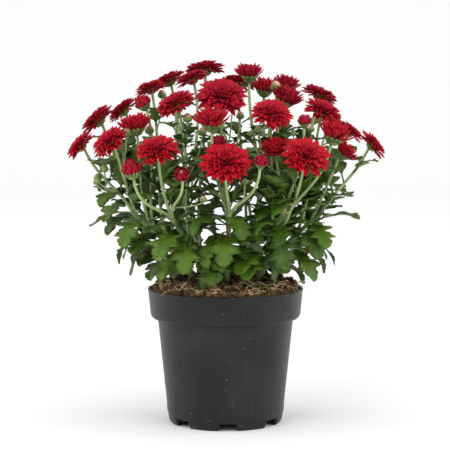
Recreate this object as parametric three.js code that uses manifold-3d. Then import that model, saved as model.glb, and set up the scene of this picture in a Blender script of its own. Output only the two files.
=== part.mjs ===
// A potted chrysanthemum: nine branching leafy stems with crimson blooms and buds, in peat, in a 12 cm pot.
// Millimetres, +Z up. The origin is the centre of the pot's foot, on the surface it stands on. -Y is front.
import * as THREE from "three";
import { mergeVertices } from "three/addons/utils/BufferGeometryUtils.js";
import Module from "manifold-3d";

const wasm = await Module();
wasm.setup();

// Pot: a thin wall with a deep collar, a raised floor and drain slots through the foot. rimRound,
// collarSlope and footBevel are the width and height of the small slopes at its corners.
const POT = {
  height: 104.4,
  rimRadius: 60,
  rimWidth: 2.2,
  rimRound: [0.5, 0.8],
  collarRadius: 58,
  collarLowZ: 84.5,
  collarUnderZ: 81,
  collarSlope: [2.2, 0.6],
  bodyTopRadius: 52.4,
  bodyLowRadius: 45.6,
  bodyLowZ: 16,
  ringZ: 9,
  ringRadius: 45.2,
  ringDepth: 0.5,
  footRadius: 42.4,
  footWidth: 1.8,
  footBevel: [1.6, 2.6],
  footSlope: 1.2,
  wall: 1.3,
  floorZ: 4.4,
  floor: 1.4,
  sides: 32,
};
const SLOT = {
  count: 7,
  firstTurn: 2.7,
  topWidth: 13,
  footWidth: 15,
  height: 6.2,
  innerRadius: 36,
  outerRadius: 49.6,
};

// Soil: peat heaped a little above the rim towards the middle
const SOIL = {
  edgeZ: 101.5,
  edgeDrop: 1.5,
  middleZ: 112,
  crownInset: 4,
  bump: 1.3,
  rings: 3,
  sides: 20,
  seed: 5,
};
const GAP = 0.3; // clearance between pieces that touch
const HOLE_GAP = 0.4; // clearance of a main stem in its hole in the soil
const SWELL = 0.36; // how far a piece's keep-out body stands off its own faces
const FOOT_SWELL = 0.06; // how far the keep-out body of a bloom reaches under its flat foot
const SLIVER = 0.005; // edges shorter than this, left where pieces join, are closed up

// Main stems: each rises from a hole in the soil to the point where its last flower stems part. The knee is
// the share of the way up where it bends most; kneeUp and kneeIn are how far it bows up and inwards there.
const STEM = {
  footRadius: 14,
  footZ: 93,
  knee: 0.42,
  kneeUp: 9,
  kneeIn: 5,
  radius: 2.3,
  topRadius: 1.6,
  sides: 6,
  steps: 4,
};
const MAIN = {
  front: [3, -62, 163],
  front_left: [-40, -56, 163],
  left_front: [-70, -36, 166],
  left: [-70, 12, 166],
  back_left: [-36, 62, 162],
  back_right: [28, 66, 162],
  right: [66, 24, 164],
  right_front: [72, -28, 164],
  front_right: [46, -54, 163],
};

// Flower stems: root and neck are the shares of a stem's run over which it keeps to its first and last
// direction, and upright is how far those directions turn towards straight up.
const TWIG = { radius: 1.15, sides: 5, steps: 3, root: 0.3, neck: 0.42, upright: 0.5 };
// Calyx, the green cup under a bloom: its radius and depth in shares of the bloom's width, and the share of
// that radius halfway up it
const CALYX = { open: [0.19, 0.11], half: [0.26, 0.18], bud: [0.36, 0.24] };
const CALYX_WAIST = 0.85;

// Flowers: name, main stem, where on it the flower stem parts (0 foot, 1 top), base point x y z, width,
// turn (0 front, 90 right, degrees), rise above the horizon (degrees) and how far open
const FLOWERS = [
  ["bloom_01", "left_front", 1, -108, -32, 215, 25, -80, 42, "open"],
  ["bloom_02", "left", 1, -96, -12, 233, 30, -85, 47, "open"],
  ["bloom_03", "left", 0.85, -79, 24, 239, 26, -95, 50, "open"],
  ["bloom_04", "left_front", 0.95, -84, -64, 220, 28, -55, 45, "open"],
  ["bloom_05", "left_front", 0.8, -66, -49, 228, 21, -60, 80, "half"],
  ["bloom_06", "front_left", 1, -49, -91, 215, 31, -15, 60, "open"],
  ["bloom_07", "left_front", 0.6, -56, -23, 257, 25, -80, 72, "open"],
  ["bloom_08", "left", 0.5, -43, 14, 262, 27, -95, 65, "open"],
  ["bloom_09", "front_left", 0.65, -36, -57, 247, 30, -60, 60, "open"],
  ["bloom_10", "left_front", 0.42, -25, -7, 264, 26, -80, 66, "open"],
  ["bloom_11", "back_left", 0.5, -16, 24, 270, 30, -150, 80, "open"],
  ["bloom_12", "front", 0.6, -3, -52, 252, 37, 5, 52, "open"],
  ["bloom_13", "front", 0.8, -10, -88, 233, 23, 0, 78, "half"],
  ["bloom_14", "front", 1, 0, -102, 207, 36, 0, 50, "open"],
  ["bloom_15", "right_front", 0.4, 18, -15, 266, 19, 20, 85, "half"],
  ["bloom_16", "back_right", 0.5, 11, 44, 259, 28, 170, 76, "open"],
  ["bloom_17", "right", 0.42, 30, 18, 254, 20, 60, 84, "half"],
  ["bloom_18", "right_front", 0.5, 44, -9, 247, 23, 70, 65, "half"],
  ["bloom_19", "right", 0.55, 47, 24, 257, 18, 100, 75, "half"],
  ["bloom_20", "front_right", 0.7, 34, -63, 240, 30, 10, 58, "open"],
  ["bloom_21", "right", 0.7, 72, 10, 251, 28, 85, 66, "open"],
  ["bloom_22", "right_front", 0.75, 73, -29, 240, 30, 55, 62, "open"],
  ["bloom_23", "front_right", 0.97, 79, -61, 222, 23, 70, 70, "half"],
  ["bloom_24", "right", 1, 95, 2, 224, 22, 88, 52, "open"],
  ["bloom_25", "right_front", 1, 110, -25, 215, 25, 85, 40, "open"],
  ["bloom_26", "front_right", 1, 58, -89, 210, 35, 20, 48, "open"],
  ["bloom_27", "front_right", 0.93, 37, -69, 212, 19, -20, 62, "half"],
  ["bloom_28", "right_front", 0.9, 87, -37, 209, 17, 75, 45, "half"],
  ["bloom_29", "back_left", 1, -54, 77, 204, 30, -145, 52, "open"],
  ["bloom_30", "back_right", 1, 0, 102, 193, 33, 180, 50, "open"],
  ["bloom_31", "right", 0.95, 65, 82, 199, 31, 142, 50, "open"],
  ["bloom_32", "left", 0.95, -91, 55, 212, 27, -120, 50, "open"],
  ["bloom_33", "back_right", 0.85, 37, 64, 234, 28, 150, 58, "open"],
  ["bloom_34", "back_left", 0.7, -40, 58, 242, 28, -146, 60, "open"],
  ["bloom_35", "back_right", 0.7, -3, 79, 246, 30, 178, 60, "open"],
  ["bloom_36", "right", 0.9, 82, 51, 229, 25, 122, 55, "open"],
  ["bloom_37", "back_left", 0.85, -11, 95, 225, 19, -172, 66, "half"],
  ["bud_01", "front_left", 0.88, -67, -89, 198, 13, -60, 75, "bud"],
  ["bud_02", "front_left", 0.97, -31, -102, 198, 10, -5, 30, "bud"],
  ["bud_03", "left_front", 0.75, -60, -38, 245, 11, -80, 60, "bud"],
  ["bud_04", "front", 0.85, -5, -69, 217, 10, 0, 75, "bud"],
  ["bud_05", "front", 0.97, 25, -105, 206, 9, 20, 70, "bud"],
  ["bud_06", "front_right", 0.8, 58, -61, 233, 9, 10, 80, "bud"],
  ["bud_07", "back_left", 0.97, -28, 97, 182, 12, -165, 55, "bud"],
  ["bud_08", "back_right", 0.95, 31, 95, 179, 11, 160, 55, "bud"],
];

// A bloom's rings, from its flat base to its middle, in shares of its half width: petals in a ring, then for
// each layer the tip (radius, height), the notch between two tips, and the crease inside it
const OPEN = {
  petals: (width) => Math.round(5.5 + width / 8),
  foot: 0.22,
  belly: null,
  layers: [
    { tip: [1, 0.14], notch: [0.78, 0.13], crease: [0.6, 0.25] },
    { tip: [0.86, 0.44], notch: [0.66, 0.38], crease: [0.42, 0.45] },
    { tip: [0.56, 0.66], notch: [0.4, 0.56], crease: null },
  ],
  middle: 0.5,
};
const HALF = {
  petals: () => 8,
  foot: 0.3,
  belly: [0.64, 0.42],
  layers: [
    { tip: [1, 1.12], notch: [0.82, 0.9], crease: [0.6, 0.86] },
    { tip: [0.66, 1.3], notch: [0.5, 1.12], crease: null },
  ],
  middle: 0.92,
};
const BUD = {
  petals: () => 6,
  foot: 0.55,
  belly: [0.98, 0.55],
  layers: [{ tip: [0.88, 1.3], notch: [0.72, 1.42], crease: null }],
  middle: 1.7,
};
const FORMS = { open: OPEN, half: HALF, bud: BUD };
const PETAL_WANDER = 0.06; // how much a tip's reach varies

// Green buds still closed, on a short stalk: the heights of three rings and of the point over the last, and
// the radii of the upper two rings, in shares of the bud's width
const GREEN_BUD = { stalkRadius: 0.72, heights: [-0.5, -0.2, 0.25], point: 0.28, radii: [0.46, 0.42] };
// bloom whose stem carries the bud, where on it they part, middle point x y z, width
const GREEN_BUDS = [
  ["bloom_04", 0.72, -73, -58, 227, 7],
  ["bloom_04", 0.6, -76, -52, 216, 6],
  ["bloom_01", 0.55, -90, -50, 200, 6],
  ["bloom_01", 0.35, -96, -34, 192, 6],
  ["bud_03", 0.7, -57, -36, 228, 7],
  ["bloom_09", 0.75, -28, -60, 238, 7],
  ["bloom_09", 0.55, -17, -58, 228, 6],
  ["bloom_12", 0.6, 5, -40, 245, 6],
  ["bloom_12", 0.5, 11, -42, 239, 6],
  ["bloom_20", 0.55, 24, -56, 229, 6],
  ["bud_06", 0.75, 50, -58, 227, 5],
  ["bloom_23", 0.7, 70, -69, 216, 5],
  ["bloom_29", 0.6, -66, 66, 206, 6],
  ["bloom_33", 0.55, 46, 74, 218, 6],
  ["bloom_31", 0.6, 82, 62, 196, 6],
];

// Leaves. Half the outline of a blade, from the foot of its stalk on: shares of the length along it and to
// its side
const LEAF = {
  edge: [
    [0, 0.028],
    [0.29, 0.032],
    [0.45, 0.29],
    [0.53, 0.11],
    [0.7, 0.33],
    [0.76, 0.17],
  ],
  rib: [0.36, 0.53, 0.76],
  // half of the blade as triangles of edge points 0 to 5, the tip 6 and rib points r0 to r2
  faces: ["1 2 r0", "2 3 r0", "3 r1 r0", "3 4 5", "3 5 r1", "5 r2 r1", "5 6 r2"],
};
const SMALL_LEAF = {
  edge: [
    [0, 0.035],
    [0.24, 0.035],
    [0.52, 0.27],
    [0.6, 0.12],
    [0.82, 0.15],
  ],
  rib: [0.34, 0.6],
  faces: ["1 2 r0", "2 3 r0", "3 r1 r0", "3 4 r1", "4 5 r1"],
};
const LEAF_THICK = 0.8;
const LEAF_FOLD = 0.28; // rise of the blade's halves from the rib, in radians
// Leaves that show in front: main stem, where on it (0 foot, 1 top), turn, length, rise, bend down (radians)
const FRONT_LEAVES = [
  ["left_front", 1, -100, 36, 0, 0.6],
  ["left", 1, -50, 36, 0.4, 1.4],
  ["left_front", 0.75, -30, 38, 0, 0.6],
  ["front_left", 0.75, -30, 46, 0.4, 1.4],
  ["left_front", 0.5, -70, 30, -0.2, 1],
  ["front", 0.85, -55, 38, 0, 2],
  ["front", 0.5, -55, 36, 0, 1.6],
  ["front", 1, 20, 34, 0.6, 2.2],
  ["front", 0.6, 30, 30, 0.6, 1.4],
  ["front", 0.9, -50, 42, 0.8, 1.8],
  ["front_left", 0.95, 70, 30, 0.6, 0.6],
  ["front_right", 0.55, -20, 38, 0.2, 1.4],
  ["front_right", 0.95, -10, 34, 0, 1],
  ["right_front", 0.7, 30, 46, 0.6, 1.8],
  ["right_front", 0.55, 50, 42, 0, 1],
  ["front_right", 0.7, 50, 30, -0.4, 1],
  ["right_front", 0.9, 60, 42, 0.4, 0.6],
  ["front_right", 1, 80, 34, 0.6, 0.6],
  ["front_right", 0.75, -40, 38, 0.6, 1.4],
  ["front_right", 0.55, 70, 30, -0.2, 2.2],
];
// The other leaves of a main stem: where on it, turn from the stem's own direction, length, rise, bend
const STEM_LEAVES = [
  [0.36, 16, 45, 0.4, 1.6],
  [0.5, -62, 45, 0.5, 1.3],
  [0.86, 168, 40, 0.45, 1.2],
  [0.78, -24, 40, 0.2, 1.5],
  [0.9, 48, 36, 0.3, 1.2],
];
// The main stems without the first of these, where the peat shows in front
const BARE_FEET = ["front", "front_left", "front_right", "left_front", "right_front"];
// Small leaves on flower stems: where on it, turn from the bloom's own direction, length, rise, bend, the room
// under which one is left out, and the blooms whose stems have one
const TWIG_LEAVES = [
  [0.33, 50, 32, 0.6, 1.3, -Infinity, "01 02 03 05 06 07 09 12 14 20 21 22 24 26 29 30 31 32 33 35 36"],
  [0.42, -70, 40, 1.15, 0.8, 2, "07 08 09 10 11 12 13 15 16 17 18 19 20 21 27 33 34 35 36"],
  [0.6, 100, 34, 1.05, 0.9, 2, "08 09 10 11 12 13 15 16 17 18 19 20 33 34 35"],
  [0.76, -40, 26, 1, 0.9, 2, "08 09 10 11 12 13 15 16 17 18 19 20 34 35"],
];
// A leaf turns and rises from its own lie by these, to where it has the most room
const TURNS = [0, 14, -14, 28, -28, 42, -42, 56, -56];
const RISES = [0, 0.25, -0.25];
const WANDER_COST = 0.04; // room that a leaf gives up rather than turn by one degree
const DOTS = 24; // places on a stem that its leaves' room is measured from
const RIM_REACH = 3; // how far to each side of the pot's rim a leaf stays over it
// Places on a blade whose room is measured: share of the length along it and to its side
const FEELERS = [
  [0.25, 0],
  [0.4, 0],
  [0.44, 0.22],
  [0.44, -0.22],
  [0.56, 0],
  [0.6, 0.16],
  [0.6, -0.16],
  [0.7, 0.28],
  [0.7, -0.28],
  [0.76, 0],
  [0.98, 0],
];

const MATERIALS = {
  pot: new THREE.MeshStandardMaterial({ color: 0x3b3c3d, roughness: 0.45, metalness: 0 }),
  soil: new THREE.MeshStandardMaterial({ color: 0x4a3527, roughness: 1, metalness: 0 }),
  green: new THREE.MeshStandardMaterial({ color: 0x3f6b2a, roughness: 0.6, metalness: 0 }),
  petal: new THREE.MeshStandardMaterial({ color: 0xa8101e, roughness: 0.55, metalness: 0 }),
};

const UP = new THREE.Vector3(0, 0, 1);
const point = (x, y, z) => new THREE.Vector3(x, y, z);
const radians = THREE.MathUtils.degToRad;

// A repeatable draw between -1 and 1 for a whole number.
function draw(k) {
  const x = Math.sin(k * 12.9898 + 78.233) * 43758.5453;
  return 2 * (x - Math.floor(x)) - 1;
}

// The horizontal direction at a turn from the front, towards the right.
function heading(turn) {
  return point(Math.sin(radians(turn)), -Math.cos(radians(turn)), 0);
}

// The direction at a turn and a rise above the horizon.
function facing(turn, rise) {
  return heading(turn).multiplyScalar(Math.cos(radians(rise))).addScaledVector(UP, Math.sin(radians(rise)));
}

// A closed geometry as a solid, with its faces outwards.
function solidOf(geometry) {
  const bare = geometry.index ? geometry.toNonIndexed() : geometry.clone();
  for (const name of ["normal", "uv"]) bare.deleteAttribute(name);
  const merged = mergeVertices(bare, 1e-4);
  const build = (triVerts) =>
    new wasm.Manifold(
      new wasm.Mesh({ numProp: 3, vertProperties: merged.attributes.position.array, triVerts }),
    );
  const triVerts = new Uint32Array(merged.index.array);
  const solid = build(triVerts);
  if (solid.volume() > 0) return solid;
  for (let i = 0; i < triVerts.length; i += 3)
    [triVerts[i + 1], triVerts[i + 2]] = [triVerts[i + 2], triVerts[i + 1]];
  return build(triVerts);
}

// A solid as a geometry again.
function geometryOf(solid) {
  const { numProp, vertProperties, triVerts } = solid.getMesh();
  const places = new Float32Array((vertProperties.length / numProp) * 3);
  for (let i = 0; i < places.length / 3; i++)
    places.set(vertProperties.subarray(i * numProp, i * numProp + 3), i * 3);
  const geometry = new THREE.BufferGeometry()
    .setAttribute("position", new THREE.BufferAttribute(places, 3))
    .setIndex(new THREE.BufferAttribute(triVerts, 1));
  geometry.computeVertexNormals();
  return geometry;
}

// Indexed triangles as a solid.
function solidFrom(points, faces) {
  const geometry = new THREE.BufferGeometry()
    .setFromPoints(points)
    .setIndex(faces.flat());
  return solidOf(geometry);
}

// A closed skin over a stack of rings with a point at each end. Two neighbouring rings have the same number
// of points, or one has twice the other's: then each point of the smaller meets an even or an odd one of it.
function skin(start, rings, end) {
  const points = [start, ...rings.flatMap((ring) => ring.points), end];
  const faces = [];
  const firsts = rings.reduce((list, ring) => [...list, list.at(-1) + ring.points.length], [1]);
  const at = (k, i) => firsts[k] + (i + rings[k].points.length) % rings[k].points.length;
  const count = (k) => rings[k].points.length;
  for (let i = 0; i < count(0); i++) faces.push([0, at(0, i + 1), at(0, i)]);
  for (let k = 0; k + 1 < rings.length; k++) {
    const [a, b] = [count(k), count(k + 1)];
    for (let i = 0; i < Math.min(a, b); i++) {
      if (a === b) {
        faces.push([at(k, i), at(k, i + 1), at(k + 1, i)]);
        faces.push([at(k, i + 1), at(k + 1, i + 1), at(k + 1, i)]);
      } else if (a < b) {
        // a smaller ring lies under the tips, the even points
        faces.push([at(k, i), at(k + 1, 2 * i + 1), at(k + 1, 2 * i)]);
        faces.push([at(k, i), at(k, i + 1), at(k + 1, 2 * i + 1)]);
        faces.push([at(k, i + 1), at(k + 1, 2 * i + 2), at(k + 1, 2 * i + 1)]);
      } else {
        // a smaller ring closes over the notches, the odd points
        faces.push([at(k, 2 * i + 1), at(k, 2 * i + 2), at(k + 1, i)]);
        faces.push([at(k, 2 * i + 2), at(k + 1, i + 1), at(k + 1, i)]);
        faces.push([at(k, 2 * i + 2), at(k, 2 * i + 3), at(k + 1, i + 1)]);
      }
    }
  }
  const last = rings.length - 1;
  for (let i = 0; i < count(last); i++)
    faces.push([points.length - 1, at(last, i), at(last, i + 1)]);
  return solidFrom(points, faces);
}

// A round skin along a line of places, each with its own radius, closed at both ends.
function loft(places, radii, sides, swell = 0, apex = 0) {
  const tangents = places.map((_, i) =>
    places[Math.min(i + 1, places.length - 1)].clone().sub(places[Math.max(i - 1, 0)]).normalize(),
  );
  let normal = new THREE.Vector3().crossVectors(tangents[0], point(1, 0, 0));
  const rings = places.map((place, i) => {
    normal = normal.clone().addScaledVector(tangents[i], -normal.dot(tangents[i])).normalize();
    const binormal = new THREE.Vector3().crossVectors(tangents[i], normal);
    return {
      points: Array.from({ length: sides }, (_, j) => {
        const angle = (2 * Math.PI * j) / sides;
        return place
          .clone()
          .addScaledVector(normal, (radii[i] + swell) * Math.cos(angle))
          .addScaledVector(binormal, (radii[i] + swell) * Math.sin(angle));
      }),
    };
  });
  const start = places[0].clone().addScaledVector(tangents[0], -swell);
  const end = places.at(-1).clone().addScaledVector(tangents.at(-1), apex + swell);
  return skin(start, rings, end);
}

// Places at even steps along a curve.
const alongCurve = (curve, steps) => Array.from({ length: steps + 1 }, (_, i) => curve.getPoint(i / steps));

// The union of several solids.
const joined = (solids) => wasm.Manifold.union(solids);

// The largest of a solid's separate bodies: a scrap that a cut left loose is dropped.
function largest(solid) {
  return solid.decompose().reduce((best, body) => (body.volume() > best.volume() ? body : best));
}

// Where the peat's surface stands at a distance from the middle.
function soilHeight(radius) {
  const share = Math.min(1, radius / POT.rimRadius);
  return SOIL.middleZ - (SOIL.middleZ - SOIL.edgeZ) * share ** 2;
}

// Radius of the pot's inner wall at a height.
function innerRadius(z) {
  const low = POT.bodyLowRadius - POT.wall;
  if (z < POT.bodyLowZ)
    return THREE.MathUtils.mapLinear(z, POT.floorZ, POT.bodyLowZ, POT.footRadius, low);
  const top = POT.bodyTopRadius - POT.wall;
  if (z < POT.collarUnderZ) return THREE.MathUtils.mapLinear(z, POT.bodyLowZ, POT.collarUnderZ, low, top);
  const collar = POT.collarRadius - POT.wall;
  if (z < POT.collarLowZ)
    return THREE.MathUtils.mapLinear(z, POT.collarUnderZ, POT.collarLowZ, top, collar);
  const rim = POT.rimRadius - POT.rimWidth;
  return THREE.MathUtils.mapLinear(z, POT.collarLowZ, POT.height, collar, rim);
}

// A solid turned from a profile of radius and height.
function turned(profile, sides) {
  const lathe = new THREE.LatheGeometry(
    profile.map(([r, z]) => new THREE.Vector2(r, z)),
    sides,
  );
  return solidOf(lathe.rotateX(Math.PI / 2));
}

// One drain slot as a wedge that widens towards the foot.
function slotCutter(turn) {
  const shape = new THREE.Shape([
    new THREE.Vector2(-SLOT.footWidth / 2, -1),
    new THREE.Vector2(SLOT.footWidth / 2, -1),
    new THREE.Vector2(SLOT.topWidth / 2, SLOT.height),
    new THREE.Vector2(-SLOT.topWidth / 2, SLOT.height),
  ]);
  const depth = SLOT.outerRadius - SLOT.innerRadius;
  const block = new THREE.ExtrudeGeometry(shape, { depth, bevelEnabled: false });
  // the extrusion runs along +Z: it is laid down to run from the inner radius outwards along -Y
  block.rotateX(Math.PI / 2).translate(0, -SLOT.innerRadius, 0).rotateZ(radians(turn));
  return solidOf(block);
}

function potSolid() {
  const p = POT;
  const [bevelWidth, bevelHeight] = p.footBevel;
  const [slopeWidth, slopeHeight] = p.collarSlope;
  const [roundWidth, roundHeight] = p.rimRound;
  const shell = turned(
    [
      [0, p.floorZ],
      [p.footRadius - p.footWidth - p.footSlope, p.floorZ],
      [p.footRadius - p.footWidth, 0],
      [p.footRadius, 0],
      [p.footRadius + bevelWidth, bevelHeight],
      [p.ringRadius - p.ringDepth, p.ringZ - 1],
      [p.ringRadius, p.ringZ],
      [p.bodyLowRadius, p.bodyLowZ],
      [p.bodyTopRadius, p.collarUnderZ],
      [p.collarRadius - slopeWidth, p.collarUnderZ + slopeHeight],
      [p.collarRadius, p.collarLowZ],
      [p.rimRadius, p.height - roundHeight],
      [p.rimRadius - roundWidth, p.height],
      [p.rimRadius - p.rimWidth, p.height],
      [innerRadius(p.collarLowZ), p.collarLowZ],
      [innerRadius(p.collarUnderZ), p.collarUnderZ],
      [innerRadius(p.bodyLowZ), p.bodyLowZ],
      [innerRadius(p.floorZ + p.floor), p.floorZ + p.floor],
      [0, p.floorZ + p.floor],
    ],
    p.sides,
  );
  const turns = Array.from({ length: SLOT.count }, (_, i) => SLOT.firstTurn + (360 * i) / SLOT.count);
  return shell.subtract(joined(turns.map(slotCutter)));
}

// Peat that fills the pot, with a rough crown and a plain hole for each main stem.
function soilSolid() {
  const bottom = POT.floorZ + POT.floor + GAP;
  const ring = (radius, z, bump) => ({
    points: Array.from({ length: SOIL.sides }, (_, i) => {
      const angle = (2 * Math.PI * i) / SOIL.sides;
      const rough = bump * draw(SOIL.seed + i + SOIL.sides * Math.round(radius));
      return point(radius * Math.cos(angle), radius * Math.sin(angle), z + rough);
    }),
  });
  // seen from above the pot's inner wall is a polygon, so the soil's round stays inside its flats
  const fit = Math.cos(Math.PI / POT.sides);
  const levels = [bottom, POT.bodyLowZ, POT.collarUnderZ, POT.collarLowZ, SOIL.edgeZ - SOIL.edgeDrop];
  const wall = levels.map((z) => ring(innerRadius(z) * fit - GAP, z, 0));
  const crown = Array.from({ length: SOIL.rings }, (_, k) => {
    const radius = (innerRadius(SOIL.edgeZ) - SOIL.crownInset) * (1 - k / SOIL.rings);
    return ring(radius, soilHeight(radius), SOIL.bump);
  });
  const body = skin(point(0, 0, bottom), [...wall, ...crown], point(0, 0, SOIL.middleZ));
  const holes = Object.keys(MAIN).map((name) => mainSolid(name, HOLE_GAP));
  return body.subtract(joined(holes));
}

// The line of a main stem, from its foot in the soil to its top.
function mainCurve(name) {
  const top = point(...MAIN[name]);
  const outward = point(top.x, top.y, 0).normalize();
  const foot = outward.clone().multiplyScalar(STEM.footRadius).setZ(STEM.footZ);
  const knee = foot.clone().lerp(top, STEM.knee);
  knee.addScaledVector(UP, STEM.kneeUp).addScaledVector(outward, -STEM.kneeIn);
  return new THREE.QuadraticBezierCurve3(foot, knee, top);
}

function mainSolid(name, swell = 0) {
  const places = alongCurve(mainCurve(name), STEM.steps);
  const radii = places.map((_, i) => THREE.MathUtils.lerp(STEM.radius, STEM.topRadius, i / STEM.steps));
  return loft(places, radii, STEM.sides, swell);
}

// A flower from its row.
function flowerOf([name, stem, parts, x, y, z, width, turn, rise, form]) {
  return { name, stem, parts, base: point(x, y, z), width, axis: facing(turn, rise), form };
}

// The line of a flower stem, from its root in the main stem to the foot of its calyx.
function twigCurve(flower) {
  const main = mainCurve(flower.stem);
  const root = main.getPoint(flower.parts);
  const run = root.distanceTo(flower.base);
  const start = main.getTangent(flower.parts).lerp(UP, TWIG.upright).normalize();
  const end = flower.axis.clone().lerp(UP, TWIG.upright).normalize();
  const [, depth] = CALYX[flower.form];
  const top = flower.base.clone().addScaledVector(flower.axis, -depth * flower.width);
  return new THREE.CubicBezierCurve3(
    root,
    root.clone().addScaledVector(start, TWIG.root * run),
    top.clone().addScaledVector(end, -TWIG.neck * run),
    top,
  );
}

// A ring of points round an axis at a place.
function ringRound(place, axis, radius, sides, phase = 0) {
  const across = Math.abs(axis.z) > 0.9 ? point(1, 0, 0) : UP; // any direction well away from the axis
  const side = new THREE.Vector3().crossVectors(axis, across).normalize();
  const other = new THREE.Vector3().crossVectors(axis, side);
  return Array.from({ length: sides }, (_, i) => {
    const angle = (2 * Math.PI * (i + phase)) / sides;
    return place
      .clone()
      .addScaledVector(side, radius * Math.cos(angle))
      .addScaledVector(other, radius * Math.sin(angle));
  });
}

// A flower stem and the green cup at its end.
function twigSolid(flower, swell = 0) {
  const [wide, depth] = CALYX[flower.form].map((share) => share * flower.width);
  const cup = (share) => flower.base.clone().addScaledVector(flower.axis, share * depth);
  const top = flower.base.clone().addScaledVector(flower.axis, -GAP - swell);
  const places = [...alongCurve(twigCurve(flower), TWIG.steps), cup(-0.5), top];
  const radii = [...Array(TWIG.steps + 1).fill(TWIG.radius), CALYX_WAIST * wide, wide];
  return loft(places, radii, TWIG.sides, swell);
}

// One bloom or bud: layers of petals raised as rings of tips and notches, each over the crease of the last.
// swell grows it evenly for its keep-out body.
function bloomSolid(flower, seed, swell = 0) {
  const form = FORMS[flower.form];
  const petals = form.petals(flower.width);
  const half = flower.width / 2 + swell;
  const sink = swell ? GAP - FOOT_SWELL : 0;
  const at = (height) => flower.base.clone().addScaledVector(flower.axis, height * half - sink);
  const { axis } = flower;
  const ring = ([radius, height], phase) => ringRound(at(height), axis, radius * half, petals, phase);
  const rings = [{ points: ring([form.foot, 0]) }];
  if (form.belly) rings.push({ points: ring(form.belly) });
  form.layers.forEach(({ tip: [tipRadius, tipHeight], notch, crease }, layer) => {
    const shift = layer / 2; // a layer's tips stand over the notches of the layer under it
    const points = [];
    for (let i = 0; i < petals; i++) {
      const reach = 1 + PETAL_WANDER * draw(100 * seed + 20 * layer + i);
      points.push(ring([tipRadius * reach, tipHeight], shift + i)[0]);
      points.push(ring(notch, shift + i + 0.5)[0]);
    }
    rings.push({ points });
    if (crease) rings.push({ points: ring(crease, shift + 0.5) });
  });
  return skin(at(0), rings, at(form.middle));
}

// A point of a leaf at a share of its length, a distance to the side of its rib and a height over its middle
// face: the rib bends down along an arc, and the blade's halves rise from it.
function leafPoint({ root, turn, length, rise, bend }, share, across, height) {
  const angle = rise - bend * share;
  const run = (length * (Math.sin(rise) - Math.sin(angle))) / bend;
  const climb = (length * (Math.cos(angle) - Math.cos(rise))) / bend;
  const lift = Math.abs(across) * Math.sin(LEAF_FOLD) + height;
  const ahead = heading(turn);
  return root
    .clone()
    .addScaledVector(ahead, run - lift * Math.sin(angle))
    .addScaledVector(UP, climb + lift * Math.cos(angle))
    .addScaledVector(new THREE.Vector3().crossVectors(UP, ahead), across * Math.cos(LEAF_FOLD));
}

// A leaf of even thickness: its lobed outline split into the same triangles on both faces.
function leafSolid(leaf, swell = 0) {
  const { edge, rib, faces } = leaf.cut;
  const { length } = leaf;
  const outline = [
    ...edge.map(([share, wide]) => [share, -wide * length - swell]),
    [1 + swell / length, 0],
    ...edge.map(([share, wide]) => [share, wide * length + swell]).reverse(),
  ];
  const flat = [...outline, ...rib.map((share) => [share, 0])];
  const count = outline.length;
  const index = (word) => (word[0] === "r" ? count + Number(word[1]) : Number(word));
  const mirror = (i) => (i < count ? count - 1 - i : i);
  const half = faces.map((face) => face.split(" ").map(index));
  const other = half.map((face) => face.map(mirror).reverse());
  const stalk = [
    [0, 1, mirror(1)],
    [0, mirror(1), mirror(0)],
    [1, count, mirror(1)],
  ];
  const top = [...stalk, ...half, ...other];
  const under = top.map((face) => face.map((i) => i + flat.length).reverse());
  const wall = outline.flatMap((_, i) => {
    const next = (i + 1) % count;
    return [
      [next, i, i + flat.length],
      [next, i + flat.length, next + flat.length],
    ];
  });
  const thick = LEAF_THICK / 2 + swell;
  const points = [thick, -thick].flatMap((height) =>
    flat.map(([share, across]) => leafPoint(leaf, share, across, height)),
  );
  return solidFrom(points, [...top, ...under, ...wall]);
}

// A closed green bud on its short stalk.
function greenBudSolid([bloom, parts, x, y, z, width], swell = 0) {
  const root = twigCurve(flowerNamed(bloom)).getPoint(parts);
  const places = [root, ...GREEN_BUD.heights.map((height) => point(x, y, z + height * width))];
  const stalk = [GREEN_BUD.stalkRadius, GREEN_BUD.stalkRadius];
  const radii = [...stalk, ...GREEN_BUD.radii.map((share) => share * width)];
  return loft(places, radii, TWIG.sides, swell, GREEN_BUD.point * width);
}

const flowers = FLOWERS.map(flowerOf);
const flowerNamed = (name) => flowers.find((flower) => flower.name === name);

// Round obstacles that a leaf turns away from: places on the stems, and the blooms.
function obstacles() {
  const dots = (curve, radius) => alongCurve(curve, DOTS).map((place) => ({ place, radius }));
  return [
    ...Object.keys(MAIN).flatMap((name) => dots(mainCurve(name), STEM.radius)),
    ...flowers.flatMap((flower) => dots(twigCurve(flower), TWIG.radius)),
    ...flowers.map(({ base, axis, width }) => ({
      place: base.clone().addScaledVector(axis, width / 4),
      radius: width / 2,
    })),
  ];
}

// How high the soil or the pot's rim stands at a distance from the middle.
function groundHeight(radius) {
  if (radius > POT.rimRadius + RIM_REACH) return 0;
  return radius > innerRadius(SOIL.edgeZ) - RIM_REACH ? POT.height : soilHeight(radius);
}

// The room that a leaf has: the least distance from its feelers to what is already there.
function roomOf(leaf, taken) {
  const rooms = FEELERS.map(([share, across]) => {
    const place = leafPoint(leaf, share, across * leaf.length, 0);
    const over = place.z - groundHeight(Math.hypot(place.x, place.y));
    return taken.reduce((least, dot) => Math.min(least, place.distanceTo(dot.place) - dot.radius), over);
  });
  return Math.min(...rooms);
}

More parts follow.
